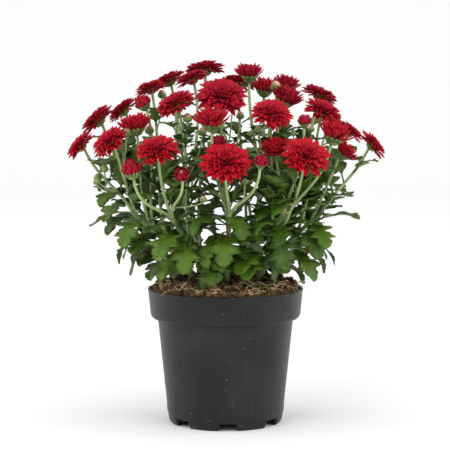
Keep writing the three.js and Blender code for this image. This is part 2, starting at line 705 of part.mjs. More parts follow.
// Every leaf of the plant, each turned to where it has the most room.
function growLeaves() {
  const taken = obstacles();
  const leaves = [];
  const settle = (leaf, turns, rises, least = -Infinity) => {
    let best = { score: -Infinity };
    for (const turn of turns) {
      for (const rise of rises) {
        const lie = { ...leaf, turn: leaf.turn + turn, rise: leaf.rise + rise };
        const room = roomOf(lie, taken);
        const score = room - WANDER_COST * Math.abs(turn);
        if (score > best.score) best = { score, room, lie };
      }
    }
    if (best.room < least) return;
    leaves.push(best.lie);
    for (const [share, across] of FEELERS)
      taken.push({ place: leafPoint(best.lie, share, across * leaf.length, 0), radius: 0 });
  };
  for (const [stem, at, turn, length, rise, bend] of FRONT_LEAVES)
    settle({ stem, root: mainCurve(stem).getPoint(at), turn, length, rise, bend, cut: LEAF }, [0], [0]);
  STEM_LEAVES.forEach(([at, turn, length, rise, bend], level) =>
    Object.entries(MAIN).forEach(([stem, top], k) => {
      if (level === 0 && BARE_FEET.includes(stem)) return;
      const outward = THREE.MathUtils.radToDeg(Math.atan2(top[0], -top[1]));
      const root = mainCurve(stem).getPoint(at);
      const side = k % 2 ? -turn : turn;
      settle({ stem, root, turn: outward + side, length, rise, bend, cut: LEAF }, TURNS, RISES);
    }),
  );
  for (const [at, turn, length, rise, bend, least, blooms] of TWIG_LEAVES)
    blooms.split(" ").forEach((number, k) => {
      const flower = flowerNamed(`bloom_${number}`);
      const root = twigCurve(flower).getPoint(at);
      const outward = THREE.MathUtils.radToDeg(Math.atan2(flower.base.x, -flower.base.y));
      const own = { stem: flower.stem, root, turn: outward + (k % 2 ? -turn : turn) };
      const leaf = { ...own, length, rise, bend, cut: SMALL_LEAF };
      settle(leaf, TURNS, RISES, least);
    });
  return leaves;
}

// The solids of a whole leafy stem, or with swell those of its keep-out body.
function stemPieces(stem, leaves, swell = 0) {
  const own = (piece) => piece.stem === stem;
  return [
    mainSolid(stem, swell),
    ...flowers.filter(own).map((flower) => twigSolid(flower, swell)),
    ...leaves.filter(own).map((leaf) => leafSolid(leaf, swell)),
    ...GREEN_BUDS.filter(([bloom]) => own(flowerNamed(bloom))).map((row) => greenBudSolid(row, swell)),
  ];
}

const chrysanthemum = new THREE.Group();

function add(name, solid, material) {
  const mesh = new THREE.Mesh(geometryOf(solid), material);
  mesh.name = name;
  chrysanthemum.add(mesh);
}

add("pot", potSolid(), MATERIALS.pot);
add("soil", soilSolid(), MATERIALS.soil);
flowers.forEach((flower, k) => add(flower.name, bloomSolid(flower, k), MATERIALS.petal));

// Each leafy stem keeps clear of the blooms and of the stems before it
const leaves = growLeaves();
const keepOut = flowers.map((flower, k) => bloomSolid(flower, k, SWELL));
for (const stem of Object.keys(MAIN)) {
  const solid = joined(stemPieces(stem, leaves));
  const crossed = keepOut.filter((body) => !body.intersect(solid).isEmpty());
  const clear = solid.subtract(joined(crossed)).asOriginal().simplify(SLIVER);
  add(`leafy_stem_${stem}`, largest(clear), MATERIALS.green);
  keepOut.push(...stemPieces(stem, leaves, SWELL));
}

export default chrysanthemum;
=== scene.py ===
"""The dressed potted chrysanthemum: petals, leaves, stems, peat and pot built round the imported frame.

Lengths in this file are millimetres and angles degrees, but for lamps, camera, floor and what a finish
reads, which are in metres. A mesh's points become metres when it is made. +Z is up and -Y the front, and a
turn of 0 is the front and 90 the right.
"""

import logging
import math
from dataclasses import dataclass, field
from enum import Enum

import bpy
import numpy as np
from numpy.typing import NDArray
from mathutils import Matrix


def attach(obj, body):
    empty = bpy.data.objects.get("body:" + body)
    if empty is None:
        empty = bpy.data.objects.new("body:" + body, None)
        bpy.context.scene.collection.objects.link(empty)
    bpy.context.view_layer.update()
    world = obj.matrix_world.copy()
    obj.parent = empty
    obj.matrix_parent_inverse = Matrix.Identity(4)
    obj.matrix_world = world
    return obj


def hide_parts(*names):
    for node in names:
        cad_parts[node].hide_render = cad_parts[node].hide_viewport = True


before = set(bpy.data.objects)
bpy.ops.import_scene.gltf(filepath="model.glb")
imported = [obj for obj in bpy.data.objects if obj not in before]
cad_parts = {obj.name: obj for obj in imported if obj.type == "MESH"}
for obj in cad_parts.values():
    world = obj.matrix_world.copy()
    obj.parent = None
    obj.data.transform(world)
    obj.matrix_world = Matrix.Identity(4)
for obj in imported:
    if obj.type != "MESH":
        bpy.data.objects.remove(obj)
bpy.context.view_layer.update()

Array = NDArray[np.float64]
Ints = NDArray[np.int64]
Place = tuple[float, float, float]
Colour = tuple[float, float, float]
Socket = bpy.types.NodeSocket

METRES = 0.001
UP = np.array([0.0, 0.0, 1.0])
ACROSS = np.array([1.0, 0.0, 0.0])
GOLDEN_TURN = 137.5
log = logging.getLogger("chrysanthemum")


# Lines and directions


def unit(vectors: Array) -> Array:
    """Vectors brought to length one."""
    return vectors / np.linalg.norm(vectors, axis=-1, keepdims=True)


def heading(turn: Array | float) -> Array:
    """The horizontal direction at a turn from the front towards the right: (sin, -cos, 0)."""
    angle = np.radians(turn)
    return np.stack([np.sin(angle), -np.cos(angle), np.zeros_like(angle)], axis=-1)


def facing(turn: float, rise: float) -> Array:
    """The direction at a turn and a rise above the horizon."""
    angle = math.radians(rise)
    return heading(turn) * math.cos(angle) + UP * math.sin(angle)


def turn_of(place: Array) -> float:
    """The turn at which a place lies, seen from the pot's axis."""
    return math.degrees(math.atan2(place[0], -place[1]))


def mix(a: Array, b: Array, share: Array | float) -> Array:
    """The straight mix of two arrays, a at share 0 and b at share 1."""
    return a + (b - a) * share


def bezier(ends: Array, t: Array) -> Array:
    """Points of a Bezier curve, by repeated mixing of its control points.

    Args:
        ends: control points, one a row.
        t: shares along the curve.

    Returns:
        One point a row for each share.
    """
    rows = np.repeat(ends[:, None], len(t), axis=1)
    while len(rows) > 1:
        rows = mix(rows[:-1], rows[1:], t[None, :, None])
    return rows[0]


def smooth(low: float, high: float, x: Array) -> Array:
    """0 under low, 1 over high, and the S curve 3s^2 - 2s^3 between them."""
    s = np.clip((x - low) / (high - low), 0, 1)
    return s * s * (3 - 2 * s)


# Grids of faces


def lens_faces(rows: int, columns: int) -> tuple[Ints, Ints]:
    """Faces of a thin lens: an upper and an under grid that share their border.

    Args:
        rows: points along the lens.
        columns: points across it.

    Returns:
        The faces, four point numbers each, and the numbers of the grid points that the under side repeats.
    """
    upper = np.arange(rows * columns).reshape(rows, columns)
    under = upper.copy()
    inner = upper[1:-1, 1:-1].ravel()
    under[1:-1, 1:-1] = rows * columns + np.arange(len(inner)).reshape(rows - 2, columns - 2)

    def sheet(grid: Ints) -> Ints:
        """The faces between a grid's points."""
        return np.stack([grid[:-1, :-1], grid[1:, :-1], grid[1:, 1:], grid[:-1, 1:]], axis=-1).reshape(-1, 4)

    return np.concatenate([sheet(upper), sheet(under)[:, ::-1]]), inner


def round_faces(rows: int, columns: int) -> tuple[Ints, Ints]:
    """Faces of rings of points closed by a pole at each end: pole 0, then the rings, then the last pole.

    Args:
        rows: number of rings.
        columns: points in a ring.

    Returns:
        The four-sided faces between rings and the three-sided ones at the poles.
    """
    grid = 1 + np.arange(rows * columns).reshape(rows, columns)
    after = np.roll(grid, -1, axis=1)
    quads = np.stack([grid[:-1], after[:-1], after[1:], grid[1:]], axis=-1).reshape(-1, 4)
    first, last = np.zeros(columns, int), np.full(columns, rows * columns + 1)
    tips = np.concatenate(
        [np.stack([first, after[0], grid[0]], axis=-1), np.stack([last, grid[-1], after[-1]], axis=-1)]
    )
    return quads, tips


@dataclass
class Skin:
    """Closed shapes gathered for one piece, with a tone, a side and a place on the shape for each point."""

    points: list[Array] = field(default_factory=list)
    quads: list[Ints] = field(default_factory=list)
    tips: list[Ints] = field(default_factory=list)
    uv: list[Array] = field(default_factory=list)
    tone: list[Array] = field(default_factory=list)
    side: list[Array] = field(default_factory=list)
    count: int = 0

    def add(
        self,
        points: Array,
        quads: Ints,
        tips: Ints | None = None,
        uv: Array | None = None,
        tone: Array | float = 0.0,
        side: Array | float = 0.0,
    ) -> None:
        """Adds copies of one closed shape, each turned right side out by the sign of its volume.

        Args:
            points: copies by points by three.
            quads: four-sided faces of one copy.
            tips: three-sided faces of one copy.
            uv: place of each point on the shape, along and across.
            tone: a value from -1 to 1 for each copy or point.
            side: 0 on the upper side and 1 on the under side.
        """
        copies, size = points.shape[:2]
        tips = np.zeros((0, 3), int) if tips is None else tips
        triangles = np.concatenate([quads[:, :3], quads[:, [0, 2, 3]], tips])
        a, b, c = (points[:, triangles[:, k]] - points[:, :1] for k in range(3))
        inside_out = (a * np.cross(b, c)).sum(axis=(1, 2)) < 0
        for faces, kept in ((quads, self.quads), (tips, self.tips)):
            all_faces = np.where(inside_out[:, None, None], faces[None, :, ::-1], faces[None])
            starts = self.count + size * np.arange(copies)
            kept.append((all_faces + starts[:, None, None]).reshape(-1, faces.shape[1]))
        self.points.append(points.reshape(-1, 3))
        self.uv.append(np.broadcast_to(0.0 if uv is None else uv, (copies, size, 2)).reshape(-1, 2))
        tone = np.asarray(tone)
        tone = tone[:, None] if tone.ndim == 1 else tone
        self.tone.append(np.broadcast_to(tone, (copies, size)).ravel())
        self.side.append(np.broadcast_to(side, (copies, size)).ravel())
        self.count += copies * size

    def add_lens(self, middle: Array, thick: Array, uv: Array, tone: Array | float = 0.0) -> None:
        """Adds thin lenses: each middle sheet plus and minus half its thickness along its own normal.

        Args:
            middle: copies by rows by columns by three.
            thick: thickness by rows by columns, unused on the border.
            uv: rows by columns by two.
            tone: a value for each copy.
        """
        copies, rows, columns = middle.shape[:3]
        normal = unit(np.cross(np.gradient(middle, axis=1), np.gradient(middle, axis=2)) + 1e-9)
        faces, inner = lens_faces(rows, columns)
        offset = (normal * thick[None, ..., None] / 2).reshape(copies, -1, 3)
        flat = middle.reshape(copies, -1, 3)
        upper = flat.copy()
        upper[:, inner] += offset[:, inner]
        under = flat[:, inner] - offset[:, inner]
        flat_uv = uv.reshape(-1, 2)
        side = np.full(rows * columns, 0.5)
        side[inner] = 0.0
        self.add(
            np.concatenate([upper, under], axis=1),
            faces,
            uv=np.concatenate([flat_uv, flat_uv[inner]]),
            tone=tone,
            side=np.concatenate([side, np.ones(len(inner))]),
        )

    def add_round(self, first: Array, rings: Array, last: Array, tone: Array | float = 0.0) -> None:
        """Adds shapes of rings closed by poles.

        Args:
            first: the first pole of each copy.
            rings: copies by rings by points by three.
            last: the last pole of each copy.
            tone: a value for each copy.
        """
        copies, rows, columns = rings.shape[:3]
        quads, tips = round_faces(rows, columns)
        points = np.concatenate([first[:, None], rings.reshape(copies, -1, 3), last[:, None]], axis=1)
        along, across = np.meshgrid(np.linspace(0, 1, rows), np.linspace(0, 1, columns), indexing="ij")
        rings_uv = np.stack([along, across], axis=-1).reshape(-1, 2)
        self.add(points, quads, tips, np.concatenate([[[0.0, 0.5]], rings_uv, [[1.0, 0.5]]]), tone)

    def make(self, name: str, finish: "Finish", nodes: tuple[str, ...] = (), flat: bool = False) -> None:
        """Makes the piece: its mesh in metres at the origin, its finish, its body and the nodes it replaces.

        Args:
            name: the piece's name.
            finish: its material and the record's slot.
            nodes: the frame's nodes that it replaces.
            flat: leaves its faces flat instead of smooth.
        """
        mesh = bpy.data.meshes.new(name)
        points = np.concatenate(self.points) * METRES
        quads, tips = np.concatenate(self.quads), np.concatenate(self.tips)
        corners = np.concatenate([quads.ravel(), tips.ravel()]).astype(np.int32)
        starts = np.concatenate([4 * np.arange(len(quads)), 4 * len(quads) + 3 * np.arange(len(tips))])
        mesh.vertices.add(len(points))
        mesh.vertices.foreach_set("co", points.astype(np.float32).ravel())
        mesh.loops.add(len(corners))
        mesh.loops.foreach_set("vertex_index", corners)
        mesh.polygons.add(len(starts))
        mesh.polygons.foreach_set("loop_start", starts.astype(np.int32))
        mesh.polygons.foreach_set("use_smooth", np.full(len(starts), not flat))
        mesh.uv_layers.new(name="shape").data.foreach_set(
            "uv", np.concatenate(self.uv)[corners].astype(np.float32).ravel()
        )
        for label, values in (("tone", self.tone), ("side", self.side)):
            layer = mesh.attributes.new(label, "FLOAT", "POINT")
            layer.data.foreach_set("value", np.concatenate(values).astype(np.float32))
        mesh.update(calc_edges=True)
        mesh.validate()
        piece = bpy.data.objects.new(name, mesh)
        bpy.context.collection.objects.link(piece)
        mesh.materials.append(finish.material())
        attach(piece, "root")
        if nodes:
            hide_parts(*nodes)
        log.info("%s: %d triangles", name, 2 * len(quads) + len(tips))


def tubes(lines: Array, radii: Array, sides: int, across: Array) -> tuple[Array, Array, Array]:
    """Round tubes along lines: a ring's point is its place plus the radius times the cosine of its angle
    along one normal and the sine along the other.

    Args:
        lines: copies by places by three.
        radii: radius at each place of each copy.
        sides: points in a ring.
        across: a direction that no line runs along.

    Returns:
        The first poles, the rings and the last poles.
    """
    along = unit(np.gradient(lines, axis=1))
    normal = unit(np.cross(along, across))
    other = np.cross(along, normal)
    angle = np.arange(sides) * 2 * np.pi / sides
    round_part = normal[:, :, None] * np.cos(angle)[:, None] + other[:, :, None] * np.sin(angle)[:, None]
    rings = lines[:, :, None] + radii[..., None, None] * round_part
    return lines[:, 0], rings, lines[:, -1]


# Finishes


class Recipe:
    """The nodes of one material, added one at a time."""

    def __init__(self, name: str) -> None:
        """Starts a material with an empty Principled surface.

        Args:
            name: the material's name.
        """
        self.material = bpy.data.materials.new(name)
        self.material.use_nodes = True
        self.tree = self.material.node_tree
        self.surface = self.tree.nodes["Principled BSDF"]

    def feed(self, socket: Socket, value: object) -> None:
        """Links a socket to another node's output, or sets its value."""
        if isinstance(value, Socket):
            self.tree.links.new(value, socket)
        elif isinstance(value, tuple) and len(value) == 3 and socket.type == "RGBA":
            socket.default_value = (*value, 1.0)
        else:
            socket.default_value = value

    def node(self, kind: str, out: int | str = 0, setup: dict | None = None, **inputs: object) -> Socket:
        """Adds a node.

        Args:
            kind: the node's type without its ShaderNode prefix.
            out: which of its outputs to return.
            setup: properties to set on it.
            inputs: values or links for its inputs, by name with _ for a space, or by number after an n.

        Returns:
            One of its outputs.
        """
        made = self.tree.nodes.new("ShaderNode" + kind)
        for key, value in (setup or {}).items():
            setattr(made, key, value)
        for key, value in inputs.items():
            by_number = key[0] == "n" and key[1:].isdigit()
            self.feed(made.inputs[int(key[1:]) if by_number else key.replace("_", " ")], value)
        return made.outputs[out]

    def math(self, operation: str, a: object, b: object = 0.0, clamp: bool = False) -> Socket:
        """One arithmetic step on two values."""
        return self.node("Math", setup={"operation": operation, "use_clamp": clamp}, n0=a, n1=b)

    def times(self, a: object, b: object) -> Socket:
        """The product of two values."""
        return self.math("MULTIPLY", a, b)

    def off_middle(self, value: object) -> Socket:
        """How far a value from 0 to 1 is from one half."""
        return self.math("ABSOLUTE", self.math("SUBTRACT", value, 0.5))

    def blend(self, share: object, a: object, b: object) -> Socket:
        """The colour between a at share 0 and b at share 1."""
        return self.node("Mix", out=2, setup={"data_type": "RGBA"}, n0=share, n6=a, n7=b)

    def tint(self, colour: object, other: object, share: object, most: float) -> Socket:
        """A colour moved towards another by a share, and at the share 1 by the value most."""
        return self.blend(self.times(share, most), colour, other)

    def ramp(self, value: object, low: float, high: float) -> Socket:
        """0 where a value is under low, 1 where it is over high, and smooth between them."""
        setup = {"interpolation_type": "SMOOTHSTEP"}
        return self.node("MapRange", setup=setup, Value=value, From_Min=low, From_Max=high)

    def noise(self, scale: float, detail: float = 3.0, vector: object = None) -> Socket:
        """Cloudy noise from 0 to 1, on object coordinates unless a vector is given."""
        vector = self.node("TexCoord", out="Object") if vector is None else vector
        return self.node("TexNoise", Vector=vector, Scale=scale, Detail=detail)

    def attribute(self, name: str) -> Socket:
        """A value stored on the piece's points."""
        return self.node("Attribute", out="Fac", setup={"attribute_name": name})

    def place(self) -> tuple[Socket, Socket]:
        """The place on the shape, along and across."""
        map_ = self.node("UVMap", setup={"uv_map": "shape"})
        parts = self.tree.nodes.new("ShaderNodeSeparateXYZ")
        self.tree.links.new(map_, parts.inputs[0])
        return parts.outputs[0], parts.outputs[1]

    def streaks(self, along: float, across: float, scale: float) -> Socket:
        """Lengthwise streaks that differ from shape to shape: noise on (along, across, tone).

        Args:
            along: how fast the noise runs along the shape.
            across: how fast it runs across.
            scale: its scale.

        Returns:
            A value from 0 to 1.
        """
        on_shape, beside = self.place()
        tone = self.attribute("tone")
        spot = self.node("CombineXYZ", X=self.times(on_shape, along), Y=self.times(beside, across), Z=tone)
        return self.noise(scale, 3.0, spot)

    def bump(self, height: object, strength: float, distance: float) -> None:
        """Raises the surface by a height value, distance in metres."""
        normal = self.node("Bump", Height=height, Strength=strength, Distance=distance)
        self.feed(self.surface.inputs["Normal"], normal)

    def finish(self, colour: object, **inputs: object) -> bpy.types.Material:
        """Sets the surface's colour and its other inputs, by name with _ for a space."""
        self.feed(self.surface.inputs["Base Color"], colour)
        for key, value in inputs.items():
            self.feed(self.surface.inputs[key.replace("_", " ")], value)
        return self.material


@dataclass(frozen=True)
class Finish:
    """A finish: its name and the record's slot. Each kind paints its own material, once."""

    name: str
    slot: str

    def material(self) -> bpy.types.Material:
        """The material, made the first time it is asked for."""
        return bpy.data.materials.get(self.name) or self.paint(Recipe(self.name))

    def paint(self, recipe: Recipe) -> bpy.types.Material:
        """Builds the material's nodes."""
        raise NotImplementedError


@dataclass(frozen=True)
class PetalFinish(Finish):
    """Velvety crimson: painted shade at the root and in the groove, a painted highlight along the edges,
    plainer underneath.
    """

    # painted shade at the petal's root and in its groove, and the colour of its streaks
    root: Colour = (0.10, 0.0005, 0.005)
    body: Colour = (0.46, 0.001, 0.010)
    # painted highlight along the petal's edges
    edge: Colour = (0.72, 0.030, 0.062)
    dull: Colour = (0.29, 0.003, 0.024)
    under: Colour = (0.27, 0.004, 0.015)
    sheen: Colour = (1.0, 0.35, 0.4)
    streak_scale: float = 2.2
    streak_depth: float = 0.0004

    def paint(self, recipe: Recipe) -> bpy.types.Material:
        """Builds the material's nodes."""
        along, across = recipe.place()
        tone, side = recipe.attribute("tone"), recipe.attribute("side")
        from_rib = recipe.times(recipe.off_middle(across), 2.0)
        streaks = recipe.streaks(1.5, 9.0, self.streak_scale)
        # painted shade: the groove along the petal's middle, darker towards its root
        groove = recipe.times(recipe.ramp(from_rib, 0.7, 0.0), recipe.ramp(along, 1.0, 0.55))
        # painted shade: each petal darker towards its root, deep in the bloom
        colour = recipe.blend(recipe.ramp(along, 0.05, 0.7), self.root, self.body)
        colour = recipe.tint(colour, self.root, groove, 0.45)
        # painted highlight along the petal's raised edges
        colour = recipe.tint(colour, self.edge, recipe.ramp(from_rib, 0.55, 1.0), 0.6)
        colour = recipe.tint(colour, self.root, recipe.ramp(streaks, 0.35, 0.75), 0.35)
        # the tone carries the bloom's dullness and the painted shade of its inner rings
        colour = recipe.tint(colour, self.dull, recipe.ramp(tone, 0.0, 1.0), 0.8)
        colour = recipe.tint(colour, self.under, recipe.ramp(side, 0.5, 1.0), 0.6)
        recipe.bump(streaks, 0.35, self.streak_depth)
        sheen = {"Sheen_Weight": 0.05, "Sheen_Roughness": 0.4, "Sheen_Tint": self.sheen}
        return recipe.finish(colour, Roughness=0.5, Specular_IOR_Level=0.12, **sheen)


@dataclass(frozen=True)
class LeafFinish(Finish):
    """Leaf green with paler veins that run from the rib into the lobes, and a greyer under side."""

    dark: Colour = (0.030, 0.074, 0.004)
    light: Colour = (0.100, 0.180, 0.010)
    vein: Colour = (0.15, 0.24, 0.03)
    under: Colour = (0.14, 0.20, 0.05)
    veins: float = 9.0
    rib_half: tuple[float, float] = (0.014, 0.004)
    vein_half: tuple[float, float] = (0.09, 0.02)
    net_scale: float = 620.0
    patch_scale: float = 90.0
    depth: float = 0.0006

    def paint(self, recipe: Recipe) -> bpy.types.Material:
        """Builds the material's nodes."""
        along, across = recipe.place()
        tone, side = recipe.attribute("tone"), recipe.attribute("side")
        rib = recipe.ramp(recipe.off_middle(across), *self.rib_half)
        phase = recipe.math("FRACT", recipe.times(along, self.veins))
        lateral = recipe.ramp(recipe.off_middle(phase), *self.vein_half)
        veins = recipe.math("MAXIMUM", rib, recipe.times(lateral, 0.55))
        net = recipe.node(
            "TexVoronoi",
            setup={"feature": "DISTANCE_TO_EDGE"},
            Vector=recipe.node("TexCoord", out="Object"),
            Scale=self.net_scale,
        )
        patches = recipe.ramp(recipe.noise(self.patch_scale, 4.0), 0.3, 0.7)
        share = recipe.math("ADD", recipe.times(patches, 0.5), recipe.times(tone, 0.5), clamp=True)
        colour = recipe.blend(share, self.dark, self.light)
        colour = recipe.tint(colour, self.vein, veins, 0.35)
        colour = recipe.tint(colour, self.under, recipe.ramp(side, 0.5, 1.0), 0.75)
        height = recipe.math("SUBTRACT", recipe.times(recipe.ramp(net, 0.0, 0.1), 0.35), veins)
        recipe.bump(height, 0.5, self.depth)
        return recipe.finish(colour, Roughness=0.46, Specular_IOR_Level=0.26)


@dataclass(frozen=True)
class StemFinish(Finish):
    """Pale yellow-green stalk with fine lengthwise streaks, darker where the tone is low, on main stems."""

    light: Colour = (0.34, 0.42, 0.18)
    dark: Colour = (0.12, 0.21, 0.06)
    streak_scale: float = 9.0
    patch_scale: float = 70.0
    depth: float = 0.0004

    def paint(self, recipe: Recipe) -> bpy.types.Material:
        """Builds the material's nodes."""
        streaks = recipe.streaks(4.0, 1.0, self.streak_scale)
        patches = recipe.ramp(recipe.noise(self.patch_scale, 3.0), 0.35, 0.7)
        shade = recipe.times(recipe.math("ADD", patches, streaks), 0.4)
        share = recipe.math("SUBTRACT", shade, recipe.times(recipe.attribute("tone"), 0.4), clamp=True)
        recipe.bump(streaks, 0.4, self.depth)
        return recipe.finish(
            recipe.blend(share, self.light, self.dark), Roughness=0.5, Specular_IOR_Level=0.35
        )


@dataclass(frozen=True)
class CupFinish(Finish):
    """Green of the cups and closed buds, with pink at the tip where the tone is above zero."""

    dark: Colour = (0.085, 0.14, 0.03)
    light: Colour = (0.24, 0.32, 0.095)
    pink: Colour = (0.55, 0.10, 0.15)
    cream: Colour = (0.55, 0.42, 0.25)
    cloud_scale: float = 260.0
    depth: float = 0.0004

    def paint(self, recipe: Recipe) -> bpy.types.Material:
        """Builds the material's nodes."""
        along, across = recipe.place()
        from_rib = recipe.times(recipe.off_middle(across), 2.0)
        cloud = recipe.noise(self.cloud_scale, 3.0)
        colour = recipe.blend(recipe.ramp(cloud, 0.35, 0.7), self.dark, self.light)
        colour = recipe.tint(colour, self.light, recipe.ramp(from_rib, 0.6, 1.0), 0.3)
        blush = recipe.blend(recipe.ramp(cloud, 0.4, 0.65), self.pink, self.cream)
        tip = recipe.times(recipe.ramp(along, 0.45, 0.85), recipe.ramp(recipe.attribute("tone"), 0.0, 0.5))
        recipe.bump(cloud, 0.3, self.depth)
        return recipe.finish(recipe.blend(tip, colour, blush), Roughness=0.5, Specular_IOR_Level=0.35)


@dataclass(frozen=True)
class PotFinish(Finish):
    """Satin charcoal plastic with moulded grain, dust specks, dull scuffs, and painted shade in the hollow
    under its floor.
    """

    body: Colour = (0.0078, 0.0081, 0.0085)
    dust: Colour = (0.15, 0.145, 0.14)
    # painted shade: near black for the hollow under the pot's floor
    hollow_shade: Colour = (0.001, 0.001, 0.001)
    grain_scale: float = 2400.0
    cloud_scale: float = 26.0
    speck_scale: float = 190.0
    scuff_scale: float = 150.0
    scuff_stretch: Place = (1.0, 1.0, 0.16)
    depth: float = 0.0002
    hollow_radius: tuple[float, float] = (0.0424, 0.0414)
    hollow_height: tuple[float, float] = (0.0052, 0.0046)

    def paint(self, recipe: Recipe) -> bpy.types.Material:
        """Builds the material's nodes."""
        place = recipe.node("TexCoord", out="Object")
        cloud = recipe.noise(self.cloud_scale, 5.0)
        cells = {"Vector": place, "Scale": self.speck_scale, "Randomness": 1.0}
        from_speck = recipe.node("TexVoronoi", **cells)
        chance = recipe.node("TexVoronoi", out="Color", **cells)
        dots = recipe.times(recipe.ramp(from_speck, 0.13, 0.06), recipe.ramp(chance, 0.6, 0.7))
        upright = recipe.node("Mapping", Vector=place, Scale=self.scuff_stretch)
        scuffs = recipe.ramp(recipe.noise(self.scuff_scale, 6.0, upright), 0.62, 0.80)
        film = recipe.times(recipe.ramp(cloud, 0.4, 0.8), 0.07)
        share = recipe.math("ADD", recipe.times(dots, 0.8), recipe.times(scuffs, 0.16))
        share = recipe.math("ADD", share, film, clamp=True)
        colour = recipe.blend(share, self.body, self.dust)
        # painted shade: the hollow under the pot's floor is painted near black, where little light comes in
        colour = recipe.blend(self.hollow(recipe, place), colour, self.hollow_shade)
        roughness = recipe.math("ADD", recipe.times(cloud, 0.14), 0.34)
        recipe.bump(recipe.noise(self.grain_scale, 2.0), 0.12, self.depth)
        return recipe.finish(colour, Roughness=roughness, Specular_IOR_Level=0.27)

    def hollow(self, recipe: Recipe, place: Socket) -> Socket:
        """1 in the hollow under the pot's floor, where its shade is painted, and 0 elsewhere.

        Args:
            recipe: the material's nodes.
            place: object coordinates, in metres.

        Returns:
            The share, from the distance to the axis and the height over the floor.
        """
        multiply, length, dot = ({"operation": name} for name in ("MULTIPLY", "LENGTH", "DOT_PRODUCT"))
        flat = recipe.node("VectorMath", setup=multiply, n0=place, n1=(1.0, 1.0, 0.0))
        radius = recipe.node("VectorMath", out="Value", setup=length, n0=flat)
        height = recipe.node("VectorMath", out="Value", setup=dot, n0=place, n1=(0.0, 0.0, 1.0))
        inside = recipe.ramp(radius, *self.hollow_radius)
        return recipe.times(inside, recipe.ramp(height, *self.hollow_height))


@dataclass(frozen=True)
class PeatFinish(Finish):
    """Damp brown peat, from near-black patches, partly its own damp colour and partly painted shade of its
    pits, to dry tan on its fibres.
    """

    # near black: partly damp peat, partly painted shade of its pits
    dark: Colour = (0.018, 0.010, 0.005)
    brown: Colour = (0.095, 0.050, 0.024)
    dry: Colour = (0.30, 0.18, 0.09)
    coarse_scale: float = 170.0
    fine_scale: float = 900.0
    depth: float = 0.0012

    def paint(self, recipe: Recipe) -> bpy.types.Material:
        """Builds the material's nodes."""
        coarse, fine = recipe.noise(self.coarse_scale, 5.0), recipe.noise(self.fine_scale, 4.0)
        # near-black patches: partly damp peat, partly painted shade of the pits and gaps in it
        colour = recipe.blend(recipe.ramp(coarse, 0.35, 0.62), self.dark, self.brown)
        dry = recipe.times(recipe.ramp(fine, 0.45, 0.72), 0.5)
        share = recipe.math("ADD", dry, recipe.times(recipe.attribute("tone"), 0.5), clamp=True)
        recipe.bump(fine, 0.8, self.depth)
        return recipe.finish(recipe.blend(share, colour, self.dry), Roughness=0.92, Specular_IOR_Level=0.2)


@dataclass(frozen=True)
class RootFinish(Finish):
    """Dry tan root and straw."""

    pale: Colour = (0.70, 0.52, 0.30)
    brown: Colour = (0.17, 0.095, 0.045)
    cloud_scale: float = 240.0
    grain_scale: float = 1500.0
    depth: float = 0.0005

    def paint(self, recipe: Recipe) -> bpy.types.Material:
        """Builds the material's nodes."""
        cloud = recipe.ramp(recipe.noise(self.cloud_scale, 4.0), 0.35, 0.75)
        shade = recipe.math("ADD", cloud, recipe.times(recipe.attribute("tone"), 0.6))
        recipe.bump(recipe.noise(self.grain_scale, 3.0), 0.4, self.depth)
        share = recipe.math("MULTIPLY", shade, 0.8, clamp=True)
        colour = recipe.blend(share, self.pale, self.brown)
        return recipe.finish(colour, Roughness=0.75, Specular_IOR_Level=0.25)


@dataclass(frozen=True)
class FloorFinish(Finish):
    """A plain pale floor, with painted shade: its colour a little darker at the front and lighter further
    back.
    """

    # painted shade: the floor's colour darker at the front, lighter further back
    near: Colour = (0.74, 0.74, 0.74)
    far: Colour = (0.82, 0.82, 0.82)
    reach: tuple[float, float] = (-0.3, 2.5)

    def paint(self, recipe: Recipe) -> bpy.types.Material:
        """Builds the material's nodes."""
        parts = recipe.tree.nodes.new("ShaderNodeSeparateXYZ")
        recipe.feed(parts.inputs[0], recipe.node("TexCoord", out="Object"))
        away = recipe.ramp(parts.outputs[1], *self.reach)
        return recipe.finish(recipe.blend(away, self.near, self.far), Roughness=0.9, Specular_IOR_Level=0.1)


PETAL = PetalFinish("crimson_petal", "petals")
LEAF = LeafFinish("leaf_green", "greenery")
STALK = StemFinish("stem_green", "greenery")
CUP = CupFinish("bud_green", "greenery")
PLASTIC = PotFinish("charcoal_plastic", "pot_plastic")
PEAT = PeatFinish("brown_peat", "peat")
ROOT = RootFinish("dry_root", "peat")
FLOOR = FloorFinish("pale_floor", "")


# Pot and peat


